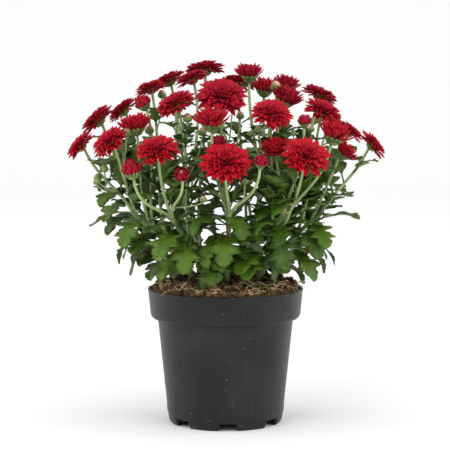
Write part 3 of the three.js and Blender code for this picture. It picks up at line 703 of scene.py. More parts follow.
@dataclass
class Pot:
    """A thin nursery pot turned about +Z, with drain slots where its foot lifts off the floor."""

    height: float = 104.4
    floor_z: float = 4.4
    floor_top: float = 5.8
    body_low: tuple[float, float] = (45.6, 16.0)
    body_top: tuple[float, float] = (52.4, 81.0)
    collar: tuple[float, float] = (58.0, 84.5)
    rim: float = 60.0
    wall: float = 1.3
    rim_width: float = 2.2
    slots: int = 7
    first_slot: float = 2.7
    slot_height: float = 6.2
    columns: int = 36
    slot_half: tuple[int, int] = (6, 7)
    lift_until: float = 9.0
    under_rows: tuple[int, int] = (3, 8)
    outer_rows: tuple[int, int] = (8, 20)
    under_lift: float = 0.84

    def inner_radius(self, z: Array | float) -> Array:
        """Radius of the inner wall at a height."""
        rows = [
            (self.floor_z, 42.4),
            (self.body_low[1], self.body_low[0] - self.wall),
            (self.body_top[1], self.body_top[0] - self.wall),
            (self.collar[1], self.collar[0] - self.wall),
            (self.height, self.rim - self.rim_width),
        ]
        heights, radii = zip(*rows)
        return np.interp(z, heights, radii)

    def profile(self) -> Array:
        """Rows of radius and height from under the floor, out round the foot, up, over the rim and down."""
        foot = [(18, 4.4), (34, 4.4), (39, 4.4), (39.8, 2.6), (40.5, 0.5), (40.9, 0.05), (41.4, 0.0)]
        low = [(42.0, 0.0), (42.4, 0.25), (43.2, 1.3), (43.95, 2.6), (44.4, 5.4), (44.65, 7.6), (44.75, 8.2)]
        ring = [(45.15, 8.75), (45.22, 9.2), (45.3, 9.9), (45.6, 16.0)]
        ends = np.array(self.body_low), np.array(self.body_top)
        body = [tuple(mix(*ends, share)) for share in np.linspace(0.1, 0.98, 10)]
        under = [(52.5, 80.5), (52.8, 80.95), (53.5, 81.15), (55.2, 81.35), (56.2, 81.7), (56.9, 82.3)]
        collar = [(57.4, 83.1), (57.8, 84.1), (58.05, 85.2), (58.5, 90.0), (59.2, 97.0), (59.7, 101.8)]
        rim = [(59.8, 102.5), (60.0, 102.9), (60.05, 103.4), (59.9, 103.9), (59.55, 104.25), (59.1, 104.4)]
        lip = [(58.5, 104.4), (58.05, 104.25), (57.85, 103.8)]
        heights = (102.0, 95.0, 85.0, 84.0, 81.4, 80.6, 60.0, 30.0, 16.0)
        inside = [(float(self.inner_radius(z)), z) for z in heights]
        floor = [(42.5, 6.6), (42.0, 5.9), (40.5, 5.8), (20.0, 5.8)]
        return np.array(foot + low + ring + body + under + collar + rim + lip + inside + floor, float)

    def build(self) -> None:
        """Turns the profile, x = r sin and y = -r cos, and lifts the foot of the outer wall at each slot."""
        step = np.arange(self.slots * self.columns)
        turns = self.first_slot + 360 / len(step) * step
        from_slot = np.minimum(step % self.columns, -step % self.columns)
        low, high = self.slot_half
        lift = self.slot_height * np.clip((high - from_slot) / (high - low), 0, 1)
        profile = self.profile()
        rows = np.arange(len(profile))[:, None]
        radius = np.repeat(profile[:, :1], len(turns), axis=1)
        z = np.repeat(profile[:, 1:], len(turns), axis=1)
        first, last = self.outer_rows
        outer = (rows >= first) & (z < self.lift_until) & (rows < last)
        lifted = lift + z * (self.lift_until - lift) / self.lift_until
        wall = profile[first:last]
        radius = np.where(outer, np.interp(lifted, wall[:, 1], wall[:, 0]), radius)
        under = (rows >= self.under_rows[0]) & (rows < self.under_rows[1])
        z = np.where(outer, lifted, np.where(under, np.maximum(z, self.under_lift * lift), z))
        ring = heading(turns)[None] * radius[..., None] + UP * z[..., None]
        skin = Skin()
        skin.add_round(UP[None] * self.floor_z, ring[None], UP[None] * self.floor_top)
        skin.make("nursery_pot", PLASTIC, ("pot",))


@dataclass
class Peat:
    """Peat heaped in the pot, with crumbs, fibres and the pale roots that lie on it."""

    pot: Pot
    edge_z: float = 101.5
    middle_z: float = 112.0
    bottom_z: float = 6.1
    gap: float = 0.3
    swell: float = 0.8
    ridge_radius: float = 52.5
    ridge_width: float = 3.0
    seed: int = 5
    around: int = 168
    lumps: int = 420
    crumbs: int = 1400
    fibres: int = 520
    strands: int = 90
    strays: int = 14
    stray_radius: float = 0.14
    turn_back: float = 55.0
    knots: tuple[float, ...] = (-60, -32, -14, 8, 24, 30, 58)

    def __post_init__(self) -> None:
        """Draws the lumps of its surface: place, radius and height."""
        rng = np.random.default_rng(self.seed)
        radius, turn = 57 * np.sqrt(rng.random(self.lumps)), rng.random(self.lumps) * 360
        self.lump_place = heading(turn)[:, :2] * radius[:, None]
        self.lump_width = rng.uniform(1.2, 5.0, self.lumps)
        self.lump_height = rng.uniform(-0.5, 0.7, self.lumps) * self.lump_width
        self.rng = rng

    def even_height(self, radius: Array | float) -> Array:
        """The heap without its lumps: highest in the middle, falling with the square of the radius."""
        share = np.minimum(1, np.asarray(radius) / self.pot.rim)
        return self.middle_z - (self.middle_z - self.edge_z) * share**2

    def ridge(self, radius: Array, turn: Array) -> Array:
        """A ragged ridge by the wall, highest at the sides: a sum of three sines of the turn, clipped, times
        a bell of the distance from its own radius."""
        waves = np.sin(7 * turn + 1.0) + np.sin(19 * turn) + 0.8 * np.sin(41 * turn + 2.0)
        sides = 0.35 + 0.65 * np.abs(np.sin(turn))
        bell = np.exp(-(((radius - self.ridge_radius) / self.ridge_width) ** 2))
        return (1.4 + np.clip(waves, -0.4, 2.2)) * sides * bell

    def height(self, places: Array) -> Array:
        """The surface at places (x, y): the even heap, the ridge and a bell exp(-d^2 / w^2) for each lump."""
        radius = np.hypot(places[..., 0], places[..., 1])
        apart = ((places[..., None, :] - self.lump_place) ** 2).sum(axis=-1)
        bells = (self.lump_height * np.exp(-apart / self.lump_width**2)).sum(axis=-1)
        ridge = self.ridge(radius, np.arctan2(places[..., 0], -places[..., 1]))
        return self.even_height(radius) + self.swell + ridge + bells * smooth(58.0, 53.0, radius)

    def body(self) -> None:
        """The peat itself: up the pot's inner wall, then in over the rough crown."""
        turns = np.arange(self.around) * 360 / self.around
        levels = np.array([self.bottom_z, 16.0, 81.0, 84.5, 96.0, 100.0])
        wall_radius = self.pot.inner_radius(levels) - self.gap
        crown_radius = np.concatenate([[57.0, 56.5], np.linspace(55.6, 1.5, 46)])
        radius = np.concatenate([wall_radius, crown_radius])[:, None]
        flat = heading(turns)[None] * radius[..., None]
        crown = self.height(flat[len(levels) :, :, :2])
        z = np.concatenate([np.repeat(levels[:, None], self.around, axis=1), crown])
        rings = flat + UP * z[..., None]
        skin = Skin()
        top = float(self.height(np.zeros((1, 2)))[0])
        skin.add_round(UP[None] * self.bottom_z, rings[None], UP[None] * top)
        skin.make("peat", PEAT, ("soil",))

    def scattered(self, count: int, out: float) -> Array:
        """Places (x, y) spread evenly over the surface, within a radius."""
        radius, turn = out * np.sqrt(self.rng.random(count)), self.rng.random(count) * 360
        return heading(turn)[:, :2] * radius[:, None]

    def crumb_piece(self) -> None:
        """Crumbs: small rough balls of 3 rings of 6 points, sunk by about a third into the surface."""
        skin = Skin()
        flat = self.scattered(self.crumbs, 55.5)
        size = self.rng.uniform(0.42, 1.0, self.crumbs) ** 2.2 * 2.5
        rise, angle = np.radians([-45.0, 0.0, 45.0])[:, None], np.arange(6) * np.pi / 3
        level = np.sin(rise) + 0 * angle
        ball = np.stack([np.cos(rise) * np.cos(angle), np.cos(rise) * np.sin(angle), level], axis=-1)
        stretch = self.rng.uniform(0.6, 1.5, (self.crumbs, 1, 1, 3)) * size[:, None, None, None]
        rough = self.rng.uniform(0.72, 1.2, (self.crumbs, 3, 6, 1))
        centre = np.concatenate([flat, (self.height(flat) + 0.3 * size)[:, None]], axis=1)
        rings = centre[:, None, None] + ball[None] * stretch * rough
        pole = stretch[:, 0, 0, 2:] * UP
        skin.add_round(centre - pole, rings, centre + pole, self.rng.uniform(-0.5, 1.0, self.crumbs))
        skin.make("peat_crumbs", PEAT, flat=True)

    def fibre_piece(self) -> None:
        """Fibres and roots: thin bent tubes laid on the surface, the long pale ones mostly at the front."""
        skin = Skin()
        places = self.scattered(self.fibres, 54.0)
        short = self.laid(places, self.rng.uniform(3, 13, self.fibres), 6, 0.5, 1.6)
        radii = np.repeat(self.rng.uniform(0.12, 0.34, (self.fibres, 1)), 6, axis=1)
        skin.add_round(*tubes(short, radii, 4, UP), self.rng.uniform(-0.4, 1.0, self.fibres))
        turn = self.rng.choice(self.knots, self.strands) + self.rng.normal(0, 9, self.strands)
        start = heading(turn)[:, :2] * self.rng.uniform(40, 52, (self.strands, 1))
        long = self.laid(start, self.rng.uniform(12, 32, self.strands), 18, 2.2, 4.5)
        taper = np.linspace(1, 0.35, 18)
        tone = self.rng.uniform(-1.6, 0.9, self.strands)
        radii = self.rng.uniform(0.25, 0.65, (self.strands, 1)) * taper
        skin.add_round(*tubes(long, radii, 6, UP), tone)
        strays = self.stray_lines()
        skin.add_round(*tubes(strays, np.full(strays.shape[:2], self.stray_radius), 4, UP), 0.0)
        skin.make("roots_and_fibres", ROOT)

    def stray_lines(self) -> Array:
        """Thin fibres over the rim: each rises from the peat, runs outwards and droops past the edge."""
        side = self.rng.choice([-1.0, 1.0], self.strays)
        turn = side * self.rng.uniform(35, 115, self.strays)
        start = heading(turn) * self.rng.uniform(50, 55, (self.strays, 1))
        start[:, 2] = self.height(start[:, :2])
        reach = self.rng.uniform(60.5, 65.0, (self.strays, 1))
        end = heading(turn + self.rng.uniform(-9, 9, self.strays)) * reach
        end[:, 2] = self.rng.uniform(101, 111, self.strays)
        over = mix(start, end, 0.62)
        over[:, 2] = self.pot.height + self.rng.uniform(2.5, 8.0, self.strays)
        t = np.linspace(0, 1, 10)[None, :, None]
        return mix(mix(start[:, None], over[:, None], t), mix(over[:, None], end[:, None], t), t)

    def laid(self, start: Array, length: Array, places: int, bend: float, stand: float) -> Array:
        """Lines laid on the surface: each heading wanders by two sines along the line, and a line that would
        pass the radius turn_back runs back from it.

        Args:
            start: where each line starts, x and y.
            length: its length.
            places: points along it.
            bend: how far it wanders.
            stand: how far its middle may stand up.

        Returns:
            Copies by places by three.
        """
        count = len(start)
        share = np.linspace(0, 1, places)
        way = self.rng.uniform(0, 2 * np.pi, (count, 1))
        curl = self.rng.uniform(-1, 1, (count, 2)) * bend
        angle = way + curl[:, :1] * np.sin(2.5 * share) * 1.6 + curl[:, 1:] * np.sin(7 * share)
        step = np.stack([np.cos(angle), np.sin(angle)], axis=-1) * (length / (places - 1))[:, None, None]
        flat = start[:, None] + np.cumsum(step, axis=1) - step
        out = np.hypot(flat[..., 0], flat[..., 1])
        inside = self.turn_back - np.abs(self.turn_back - out)
        flat = flat * (inside / np.maximum(out, 1e-6))[..., None]
        low = self.rng.uniform(0.1, 0.5, (count, 1))
        hover = low + self.rng.uniform(0, stand, (count, 1)) * np.sin(np.pi * share)
        return np.concatenate([flat, (self.height(flat) + hover)[..., None]], axis=-1)

    def build(self) -> None:
        """Builds the peat and what lies on it."""
        self.body()
        self.crumb_piece()
        self.fibre_piece()


# Stems, flowers and leaves


@dataclass(frozen=True)
class MainStem:
    """A main stem from its foot in the peat to its top, with a knee bowed up and in."""

    name: str
    top: Place
    foot_radius: float = 14.0
    foot_z: float = 93.0
    knee: float = 0.42
    knee_up: float = 9.0
    knee_in: float = 5.0

    def line(self, t: Array) -> Array:
        """Points along the stem: a Bezier curve of three control points, its foot, its knee and its top."""
        top = np.array(self.top)
        outward = unit(top * [1, 1, 0])
        foot = outward * self.foot_radius + UP * self.foot_z
        knee = mix(foot, top, self.knee) + UP * self.knee_up - outward * self.knee_in
        return bezier(np.stack([foot, knee, top]), np.asarray(t, float))

    def direction(self, t: float) -> Array:
        """The stem's direction at a share of its length."""
        low, high = max(0.0, t - 1e-4), min(1.0, t + 1e-4)
        ends = self.line(np.array([low, high]))
        return unit(ends[1] - ends[0])


MAIN_STEMS = {
    name: MainStem(name, top)
    for name, top in {
        "front": (3, -62, 163),
        "front_left": (-40, -56, 163),
        "left_front": (-70, -36, 166),
        "left": (-70, 12, 166),
        "back_left": (-36, 62, 162),
        "back_right": (28, 66, 162),
        "right": (66, 24, 164),
        "right_front": (72, -28, 164),
        "front_right": (46, -54, 163),
    }.items()
}


@dataclass(frozen=True)
class Ring:
    """A ring of petals: how many, then in shares of the bloom's half width their foot's radius and height and
    their length, the angles over the bloom's face at which they start and end, their width, and how far their
    edges curl up."""

    count: int
    radius: float
    height: float
    length: float
    start: float
    end: float
    width: float
    curl: float


class Form(Enum):
    """How far a flower is open: its petal rings from the outside in, and its cup's radius and depth."""

    OPEN = (
        (
            Ring(18, 0.15, 0.00, 0.91, 10, -20, 0.25, 0.12),
            Ring(21, 0.13, 0.02, 0.94, 22, -6, 0.245, 0.15),
            Ring(20, 0.12, 0.05, 0.86, 33, 4, 0.24, 0.18),
            Ring(18, 0.10, 0.07, 0.74, 45, 14, 0.235, 0.2),
            Ring(14, 0.08, 0.09, 0.62, 56, 28, 0.225, 0.24),
            Ring(11, 0.06, 0.10, 0.50, 68, 48, 0.20, 0.26),
            Ring(9, 0.04, 0.11, 0.38, 78, 76, 0.18, 0.3),
            Ring(6, 0.02, 0.12, 0.28, 88, 112, 0.15, 0.3),
        ),
        (0.19, 0.11),
    )
    HALF = (
        (
            Ring(14, 0.20, 0.00, 1.34, 18, 56, 0.33, 0.14),
            Ring(13, 0.17, 0.03, 1.30, 36, 62, 0.33, 0.18),
            Ring(12, 0.14, 0.06, 1.24, 52, 70, 0.31, 0.2),
            Ring(9, 0.10, 0.08, 1.12, 64, 80, 0.29, 0.24),
            Ring(8, 0.06, 0.10, 0.98, 76, 90, 0.26, 0.3),
            Ring(5, 0.03, 0.12, 0.84, 86, 108, 0.22, 0.3),
        ),
        (0.26, 0.18),
    )
    BUD = (
        (
            Ring(10, 0.46, 0.02, 1.20, 10, 100, 0.60, 0.2),
            Ring(10, 0.42, 0.10, 1.55, 24, 120, 0.58, 0.2),
            Ring(9, 0.32, 0.15, 1.72, 42, 124, 0.50, 0.2),
            Ring(7, 0.18, 0.20, 1.68, 62, 122, 0.44, 0.22),
            Ring(5, 0.08, 0.20, 1.50, 80, 112, 0.36, 0.25),
        ),
        (0.36, 0.24),
    )

    @property
    def rings(self) -> tuple[Ring, ...]:
        """Petal rings from the outside in."""
        return self.value[0]

    @property
    def cup(self) -> tuple[float, float]:
        """Radius and depth of the cup, in shares of the bloom's width."""
        return self.value[1]


@dataclass(frozen=True)
class PetalShape:
    """One petal: widest near its rounded tip, with raised edges and a groove along its middle."""

    rows: int = 8
    columns: int = 5
    neck: float = 0.36
    widest: float = 0.76
    point: float = 0.72
    blunt: float = 0.10
    thick: float = 0.4

    def sheet(self) -> tuple[Array, Array, Array, Array]:
        """The shares along and across the petal, its width share and its thickness, by rows and columns."""
        u = np.linspace(0, 1, self.rows) ** 0.8
        v = np.linspace(-1, 1, self.columns)
        along, across = np.meshgrid(u, v, indexing="ij")
        spread = self.neck + (1 - self.neck) * smooth(0.0, self.widest, along)
        end = np.sqrt(1 - self.point * np.clip((along - self.widest) / (1 - self.widest), 0, 1) ** 2)
        thick = self.thick * (1 - across**2) * np.sin(np.pi * np.clip(along, 0.06, 0.97)) ** 0.5
        return along * (1 - self.blunt * across**2 * along**3), across, spread * end, thick

    def lay(
        self,
        foot: Array,
        out: Array,
        axis: Array,
        length: Array,
        width: Array,
        start: Array,
        end: Array,
        curl: Array,
        roll: Array,
    ) -> Array:
        """Petals in space: the middle line bends from the start to the end angle at an even rate, so it runs
        out by L (sin a - sin s) / (e - s) and up by L (cos s - cos a) / (e - s), and the edges curl up with
        the square of the way across.

        Args:
            foot: where each petal starts.
            out: the direction it leans in, across the axis.
            axis: the bloom's axis.
            length: its length, as its width, angles in radians, curl and roll, one for each petal.
            width: its width.
            start: its first angle over the bloom's face.
            end: its last angle.
            curl: rise of its edges as a share of its width.
            roll: turn about its own middle line.

        Returns:
            Petals by rows by columns by three.
        """
        along, across, spread, _ = self.sheet()
        s, e, size = (x[:, None, None] for x in (start, end, length))
        rate = np.where(np.abs(e - s) < 1e-4, 1e-4, e - s)
        angle = s + rate * along
        run = size * (np.sin(angle) - np.sin(s)) / rate
        climb = size * (np.cos(s) - np.cos(angle)) / rate
        normal = out[:, None, None] * -np.sin(angle)[..., None] + axis * np.cos(angle)[..., None]
        beside = np.cross(axis, out)[:, None, None]
        r = roll[:, None, None, None] * along[None, ..., None]
        beside, normal = beside * np.cos(r) + normal * np.sin(r), normal * np.cos(r) - beside * np.sin(r)
        half = (width / 2)[:, None, None] * spread
        hollow = across**2 - 0.5 * (1 - np.abs(across)) ** 2
        rise = (curl * width)[:, None, None] * hollow * spread
        spine = foot[:, None, None] + out[:, None, None] * run[..., None] + axis * climb[..., None]
        return spine + beside * (half * across)[..., None] + normal * rise[..., None]

    def uv(self) -> Array:
        """Place of each point on the petal, along and across."""
        along, across, _, _ = self.sheet()
        return np.stack([along, 0.5 + across / 2], axis=-1)


PETAL_SHAPE = PetalShape()
BRACT_SHAPE = PetalShape(rows=5, columns=3, neck=0.7, widest=0.35, point=0.94, blunt=0.0, thick=0.5)


def lay_bracts(
    skin: Skin,
    foot: Array,
    way: Array,
    axis: Array,
    length: float,
    width: float,
    angles: tuple[float, float],
    curl: float,
) -> None:
    """Adds a row of green bracts, all alike.

    Args:
        skin: what they are added to.
        foot: where each bract starts.
        way: the direction it leans in.
        axis: the flower's axis.
        length: length of a bract.
        width: its width.
        angles: its first and last angle over the flower's face.
        curl: rise of its edges as a share of its width.
    """
    start, end = np.radians(angles)
    values = (np.full(len(foot), value) for value in (length, width, start, end, curl, 0.0))
    sheet = BRACT_SHAPE.lay(foot, way, axis, *values)
    skin.add_lens(sheet, BRACT_SHAPE.sheet()[3], BRACT_SHAPE.uv(), -1.0)


@dataclass(frozen=True)
class Flower:
    """A bloom or a crimson bud, on its own stem."""

    node: str
    stem: str
    parts: float
    base: Place
    width: float
    turn: float
    rise: float
    form: Form
    twig_root: float = 0.3
    twig_neck: float = 0.42
    upright: float = 0.5

    @property
    def axis(self) -> Array:
        """The way it faces."""
        return facing(self.turn, self.rise)

    def line(self, t: Array) -> Array:
        """Points along its stem: a Bezier curve of four control points, from the main stem to its cup."""
        main = MAIN_STEMS[self.stem]
        root, base = main.line(np.array([self.parts]))[0], np.array(self.base, float)
        run = np.linalg.norm(root - base)
        start = unit(mix(main.direction(self.parts), UP, self.upright))
        end = unit(mix(self.axis, UP, self.upright))
        top = base - self.axis * self.form.cup[1] * self.width
        ends = np.stack([root, root + start * self.twig_root * run, top - end * self.twig_neck * run, top])
        return bezier(ends, np.asarray(t, float))

    def sides(self) -> tuple[Array, Array]:
        """Two directions across the axis."""
        side = unit(np.cross(self.axis, ACROSS if abs(self.axis[2]) > 0.9 else UP))
        return side, np.cross(self.axis, side)

    def petals(self, seed: int) -> None:
        """The bloom: rings of petals, each turned half a step from the last, with small seeded differences.

        Args:
            seed: the flower's number.
        """
        rng = np.random.default_rng(1000 + seed)
        half, skin = self.width / 2, Skin()
        side, other = self.sides()
        base = np.array(self.base, float)
        dullness = float(np.clip((base[2] - 220) / 60 + rng.uniform(-0.25, 0.25), 0.0, 0.9))
        dullness = 0.9 if self.form is Form.BUD else dullness
        phase = rng.random()
        rings = self.form.rings[:3] if self.node in PALE_HEARTED else self.form.rings
        for k, ring in enumerate(rings):
            step = 2 * np.pi / ring.count
            jitter = lambda spread: rng.uniform(-spread, spread, ring.count)
            angle = step * (np.arange(ring.count) + phase + k / 2) + jitter(0.28 * step)
            out = side * np.cos(angle)[:, None] + other * np.sin(angle)[:, None]
            foot = base + out * ring.radius * half + self.axis * ring.height * half
            length = ring.length * half * (1 + jitter(0.09))
            start, end = (np.radians(a + jitter(7.0)) for a in (ring.start, ring.end))
            width = ring.width * half * (1 + jitter(0.15))
            curl = ring.curl * (1 + jitter(0.5))
            roll = np.radians(jitter(16.0))
            sheet = PETAL_SHAPE.lay(foot, out, self.axis, length, width, start, end, curl, roll)
            # painted shade: the inner rings darker, deep in the bloom
            heart_shade = 0.75 * (k / len(rings)) ** 2
            tone = np.clip(dullness + heart_shade + jitter(0.2), 0, 1)
            skin.add_lens(sheet, PETAL_SHAPE.sheet()[3], PETAL_SHAPE.uv(), tone)
        if self.form is Form.BUD:
            self.ball(skin, base + self.axis * 0.8 * half, 0.72 * half, dullness)
        skin.make(self.node + "_petals", PETAL, (self.node,))

    def ball(self, skin: Skin, centre: Array, radius: float, tone: float) -> None:
        """A ball that closes a bud's middle: rings at even rises round the axis."""
        side, other = self.sides()
        rise, angle = np.radians(np.linspace(-70, 70, 7))[:, None, None], np.arange(12) * np.pi / 6
        across = side * np.cos(angle)[:, None] + other * np.sin(angle)[:, None]
        rings = centre + radius * (across[None] * np.cos(rise) + self.axis * np.sin(rise))
        pole = self.axis * radius
        skin.add_round((centre - pole)[None], rings[None], (centre + pole)[None], tone)

    def cup(self, skin: Skin) -> None:
        """The green cup: a bowl of rings about the axis, with two rows of narrow bracts lying on it."""
        radius, depth = (share * self.width for share in self.form.cup)
        side, other = self.sides()
        base = np.array(self.base, float)
        share = np.array([0.0, 0.12, 0.3, 0.5, 0.72, 0.9, 1.0])
        wide = 1.2 + (radius * 0.92 - 1.2) * np.sqrt(1 - (1 - share) ** 2)
        wide[-1] *= 0.9
        angle = np.arange(14) * 2 * np.pi / 14
        across = side * np.cos(angle)[:, None] + other * np.sin(angle)[:, None]
        level = ((share - 1) * depth - 0.1)[:, None, None]
        rings = base + across[None] * wide[:, None, None] + self.axis * level
        low, high = base - self.axis * (depth + 0.4), base + self.axis * 0.3
        skin.add_round(low[None], rings[None], high[None], -1.0)
        if self.node in PALE_HEARTED:
            self.ball(skin, base + self.axis * 1.32 * self.width / 2, 0.3 * self.width / 2, -1.0)
        for row, (count, out, drop) in enumerate(((10, 0.55, 0.72), (12, 0.86, 0.34))):
            angle = 2 * np.pi * (np.arange(count) + row / 2) / count
            way = side * np.cos(angle)[:, None] + other * np.sin(angle)[:, None]
            foot = base + way * out * radius - self.axis * drop * depth
            angles = (38.0 + 14 * row, 78.0 - 22 * row)
            lay_bracts(skin, foot, way, self.axis, 0.75 * radius + 0.7, 0.62 * radius, angles, 0.1)


# Flowers: main stem, where on it the stem parts, base point, width, turn, rise and form
FLOWER_ROWS = """
bloom_01 left_front 1 -108 -32 215 25 -80 42 OPEN
bloom_02 left 1 -96 -12 233 30 -85 47 OPEN
bloom_03 left 0.85 -79 24 239 26 -95 50 OPEN
bloom_04 left_front 0.95 -84 -64 220 28 -55 45 OPEN
bloom_05 left_front 0.8 -66 -49 228 21 -60 80 HALF
bloom_06 front_left 1 -49 -91 215 31 -15 60 OPEN
bloom_07 left_front 0.6 -56 -23 257 25 -80 72 OPEN
bloom_08 left 0.5 -43 14 262 27 -95 65 OPEN
bloom_09 front_left 0.65 -36 -57 247 30 -60 60 OPEN
bloom_10 left_front 0.42 -25 -7 264 26 -80 66 OPEN
bloom_11 back_left 0.5 -16 24 270 30 -150 80 OPEN
bloom_12 front 0.6 -3 -52 252 37 5 52 OPEN
bloom_13 front 0.8 -10 -88 233 23 0 78 HALF
bloom_14 front 1 0 -102 207 36 0 50 OPEN
bloom_15 right_front 0.4 18 -15 266 19 20 85 HALF
bloom_16 back_right 0.5 11 44 259 28 170 76 OPEN
bloom_17 right 0.42 30 18 254 20 60 84 HALF
bloom_18 right_front 0.5 44 -9 247 23 70 65 HALF
bloom_19 right 0.55 47 24 257 18 100 75 HALF
bloom_20 front_right 0.7 34 -63 240 30 10 58 OPEN
bloom_21 right 0.7 72 10 251 28 85 66 OPEN
bloom_22 right_front 0.75 73 -29 240 30 55 62 OPEN
bloom_23 front_right 0.97 79 -61 222 23 70 70 HALF
bloom_24 right 1 95 2 224 22 88 52 OPEN
bloom_25 right_front 1 110 -25 215 25 85 40 OPEN
bloom_26 front_right 1 58 -89 210 35 20 48 OPEN
bloom_27 front_right 0.93 37 -69 212 19 -20 62 HALF
bloom_28 right_front 0.9 87 -37 209 17 75 45 HALF
bloom_29 back_left 1 -54 77 204 30 -145 52 OPEN
bloom_30 back_right 1 0 102 193 33 180 50 OPEN
bloom_31 right 0.95 65 82 199 31 142 50 OPEN
bloom_32 left 0.95 -91 55 212 27 -120 50 OPEN
bloom_33 back_right 0.85 37 64 234 28 150 58 OPEN
bloom_34 back_left 0.7 -40 58 242 28 -146 60 OPEN
bloom_35 back_right 0.7 -3 79 246 30 178 60 OPEN
bloom_36 right 0.9 82 51 229 25 122 55 OPEN
bloom_37 back_left 0.85 -11 95 225 19 -172 66 HALF
bud_01 front_left 0.88 -67 -89 198 13 -60 75 BUD
bud_02 front_left 0.97 -31 -102 198 10 -5 30 BUD
bud_03 left_front 0.75 -60 -38 245 11 -80 60 BUD
bud_04 front 0.85 -5 -69 217 10 0 75 BUD
bud_05 front 0.97 25 -105 206 9 20 70 BUD
bud_06 front_right 0.8 58 -61 233 9 10 80 BUD
bud_07 back_left 0.97 -28 97 182 12 -165 55 BUD
bud_08 back_right 0.95 31 95 179 11 160 55 BUD
"""


def read_flower(row: str) -> Flower:
    """A flower from its row."""
    node, stem, *numbers, form = row.split()
    parts, x, y, z, width, turn, rise = map(float, numbers)
    return Flower(node, stem, parts, (x, y, z), width, turn, rise, Form[form])


PALE_HEARTED = ("bud_02", "bud_06")
FLOWERS = [read_flower(row) for row in FLOWER_ROWS.strip().splitlines()]


@dataclass(frozen=True)
class GreenBud:
    """A closed bud on a short stalk: the flower whose stem carries it, where they part, its middle, its
    width, and how pink its tip is, green under 0."""

    flower: str
    parts: float
    middle: Place
    width: float
    pink: float = -1.0

    def build(self, stalks: Skin, cups: Skin) -> None:
        """Its stalk, an upright ball of rings, and seven bracts that close over it."""
        carrier = next(flower for flower in FLOWERS if flower.node == self.flower)
        root = carrier.line(np.array([self.parts]))[0]
        middle, half = np.array(self.middle, float), self.width / 2
        under = middle - UP * half * 0.9
        knee = np.array([*mix(root, under, 0.75)[:2], mix(root, under, 0.35)[2]])
        line = bezier(np.stack([root, knee, under]), np.linspace(0, 1, 10))
        stalks.add_round(*tubes(line[None], np.full((1, 10), 0.62), 6, ACROSS), 0.1)
        rise, angle = np.radians(np.linspace(-75, 78, 9))[:, None, None], np.arange(12) * np.pi / 6
        ribbed = 1 + 0.05 * np.cos(6 * angle)
        across = heading(np.degrees(angle)) * ribbed[:, None]
        rings = middle + half * (across[None] * 0.94 * np.cos(rise) + UP * np.sin(rise))
        cups.add_round((middle - UP * half)[None], rings[None], (middle + UP * half * 1.02)[None], self.pink)
        way = heading(np.arange(7) * 360 / 7)
        foot = middle + way * 0.45 * half - UP * 0.88 * half
        lay_bracts(cups, foot, way, UP, 1.25 * half, 0.8 * half, (22.0, 112.0), 0.15)


GREEN_BUDS = [
    GreenBud("bloom_04", 0.72, (-73, -58, 227), 7.0, 0.2),
    GreenBud("bloom_04", 0.6, (-76, -52, 216), 6.0),
    GreenBud("bloom_01", 0.55, (-90, -50, 200), 6.0),
    GreenBud("bloom_01", 0.35, (-96, -34, 192), 6.0),
    GreenBud("bud_03", 0.7, (-57, -36, 228), 7.0, 1.0),
    GreenBud("bloom_09", 0.75, (-28, -60, 238), 7.0, 1.0),
    GreenBud("bloom_09", 0.55, (-17, -58, 228), 6.0, 0.6),
    GreenBud("bloom_12", 0.6, (5, -40, 245), 6.0, 0.3),
    GreenBud("bloom_12", 0.5, (11, -42, 239), 6.0, 0.3),
    GreenBud("bloom_20", 0.55, (24, -56, 229), 6.0),
    GreenBud("bud_06", 0.75, (50, -58, 227), 5.0),
    GreenBud("bloom_23", 0.7, (70, -69, 216), 5.0, 0.3),
    GreenBud("bloom_29", 0.6, (-66, 66, 206), 6.0),
    GreenBud("bloom_33", 0.55, (46, 74, 218), 6.0, 0.4),
    GreenBud("bloom_31", 0.6, (82, 62, 196), 6.0),
    GreenBud("bloom_26", 0.12, (42, -78, 171), 6.0, 1.0),
    GreenBud("bud_02", 0.3, (-16, -84, 180), 5.0, 1.0),
    GreenBud("bud_05", 0.5, (14, -84, 193), 4.5),
    GreenBud("bloom_18", 0.8, (38, -12, 260), 8.0, 1.0),
    GreenBud("bloom_07", 0.8, (-48, -20, 254), 6.5, 1.0),
    GreenBud("bloom_27", 0.8, (19, -52, 226), 5.0),
    GreenBud("bloom_20", 0.6, (25, -46, 228), 5.0, 0.4),
    GreenBud("bloom_01", 0.3, (-96, -46, 190), 5.5),
    GreenBud("bloom_22", 0.7, (64, -40, 229), 5.0, 0.2),
]


@dataclass(frozen=True)
class LeafCut:
    """A leaf's outline: for each row, the edge's share along and to the side, and the share of its rib."""

    rows: tuple[tuple[float, float, float], ...]
    columns: int
    thick: float = 0.5
    stalk_until: float = 0.27
    stalk_thick: float = 1.3

    def sheet(self) -> tuple[Array, Array, Array, Array]:
        """Share along, share across, thickness and place on the leaf, each row mixed from rib to edge."""
        edge_along, edge_side, rib = np.array(self.rows).T
        v = np.linspace(-1, 1, self.columns)
        along = rib[:, None] + (edge_along - rib)[:, None] * np.abs(v)
        across = edge_side[:, None] * v
        thick = np.where(edge_along < self.stalk_until, self.stalk_thick, self.thick)[:, None]
        thick = thick * (1 - v**2) ** 0.5
        uv = np.stack([np.repeat(rib[:, None], self.columns, axis=1), 0.5 + across], axis=-1)
        return along, across, thick, uv


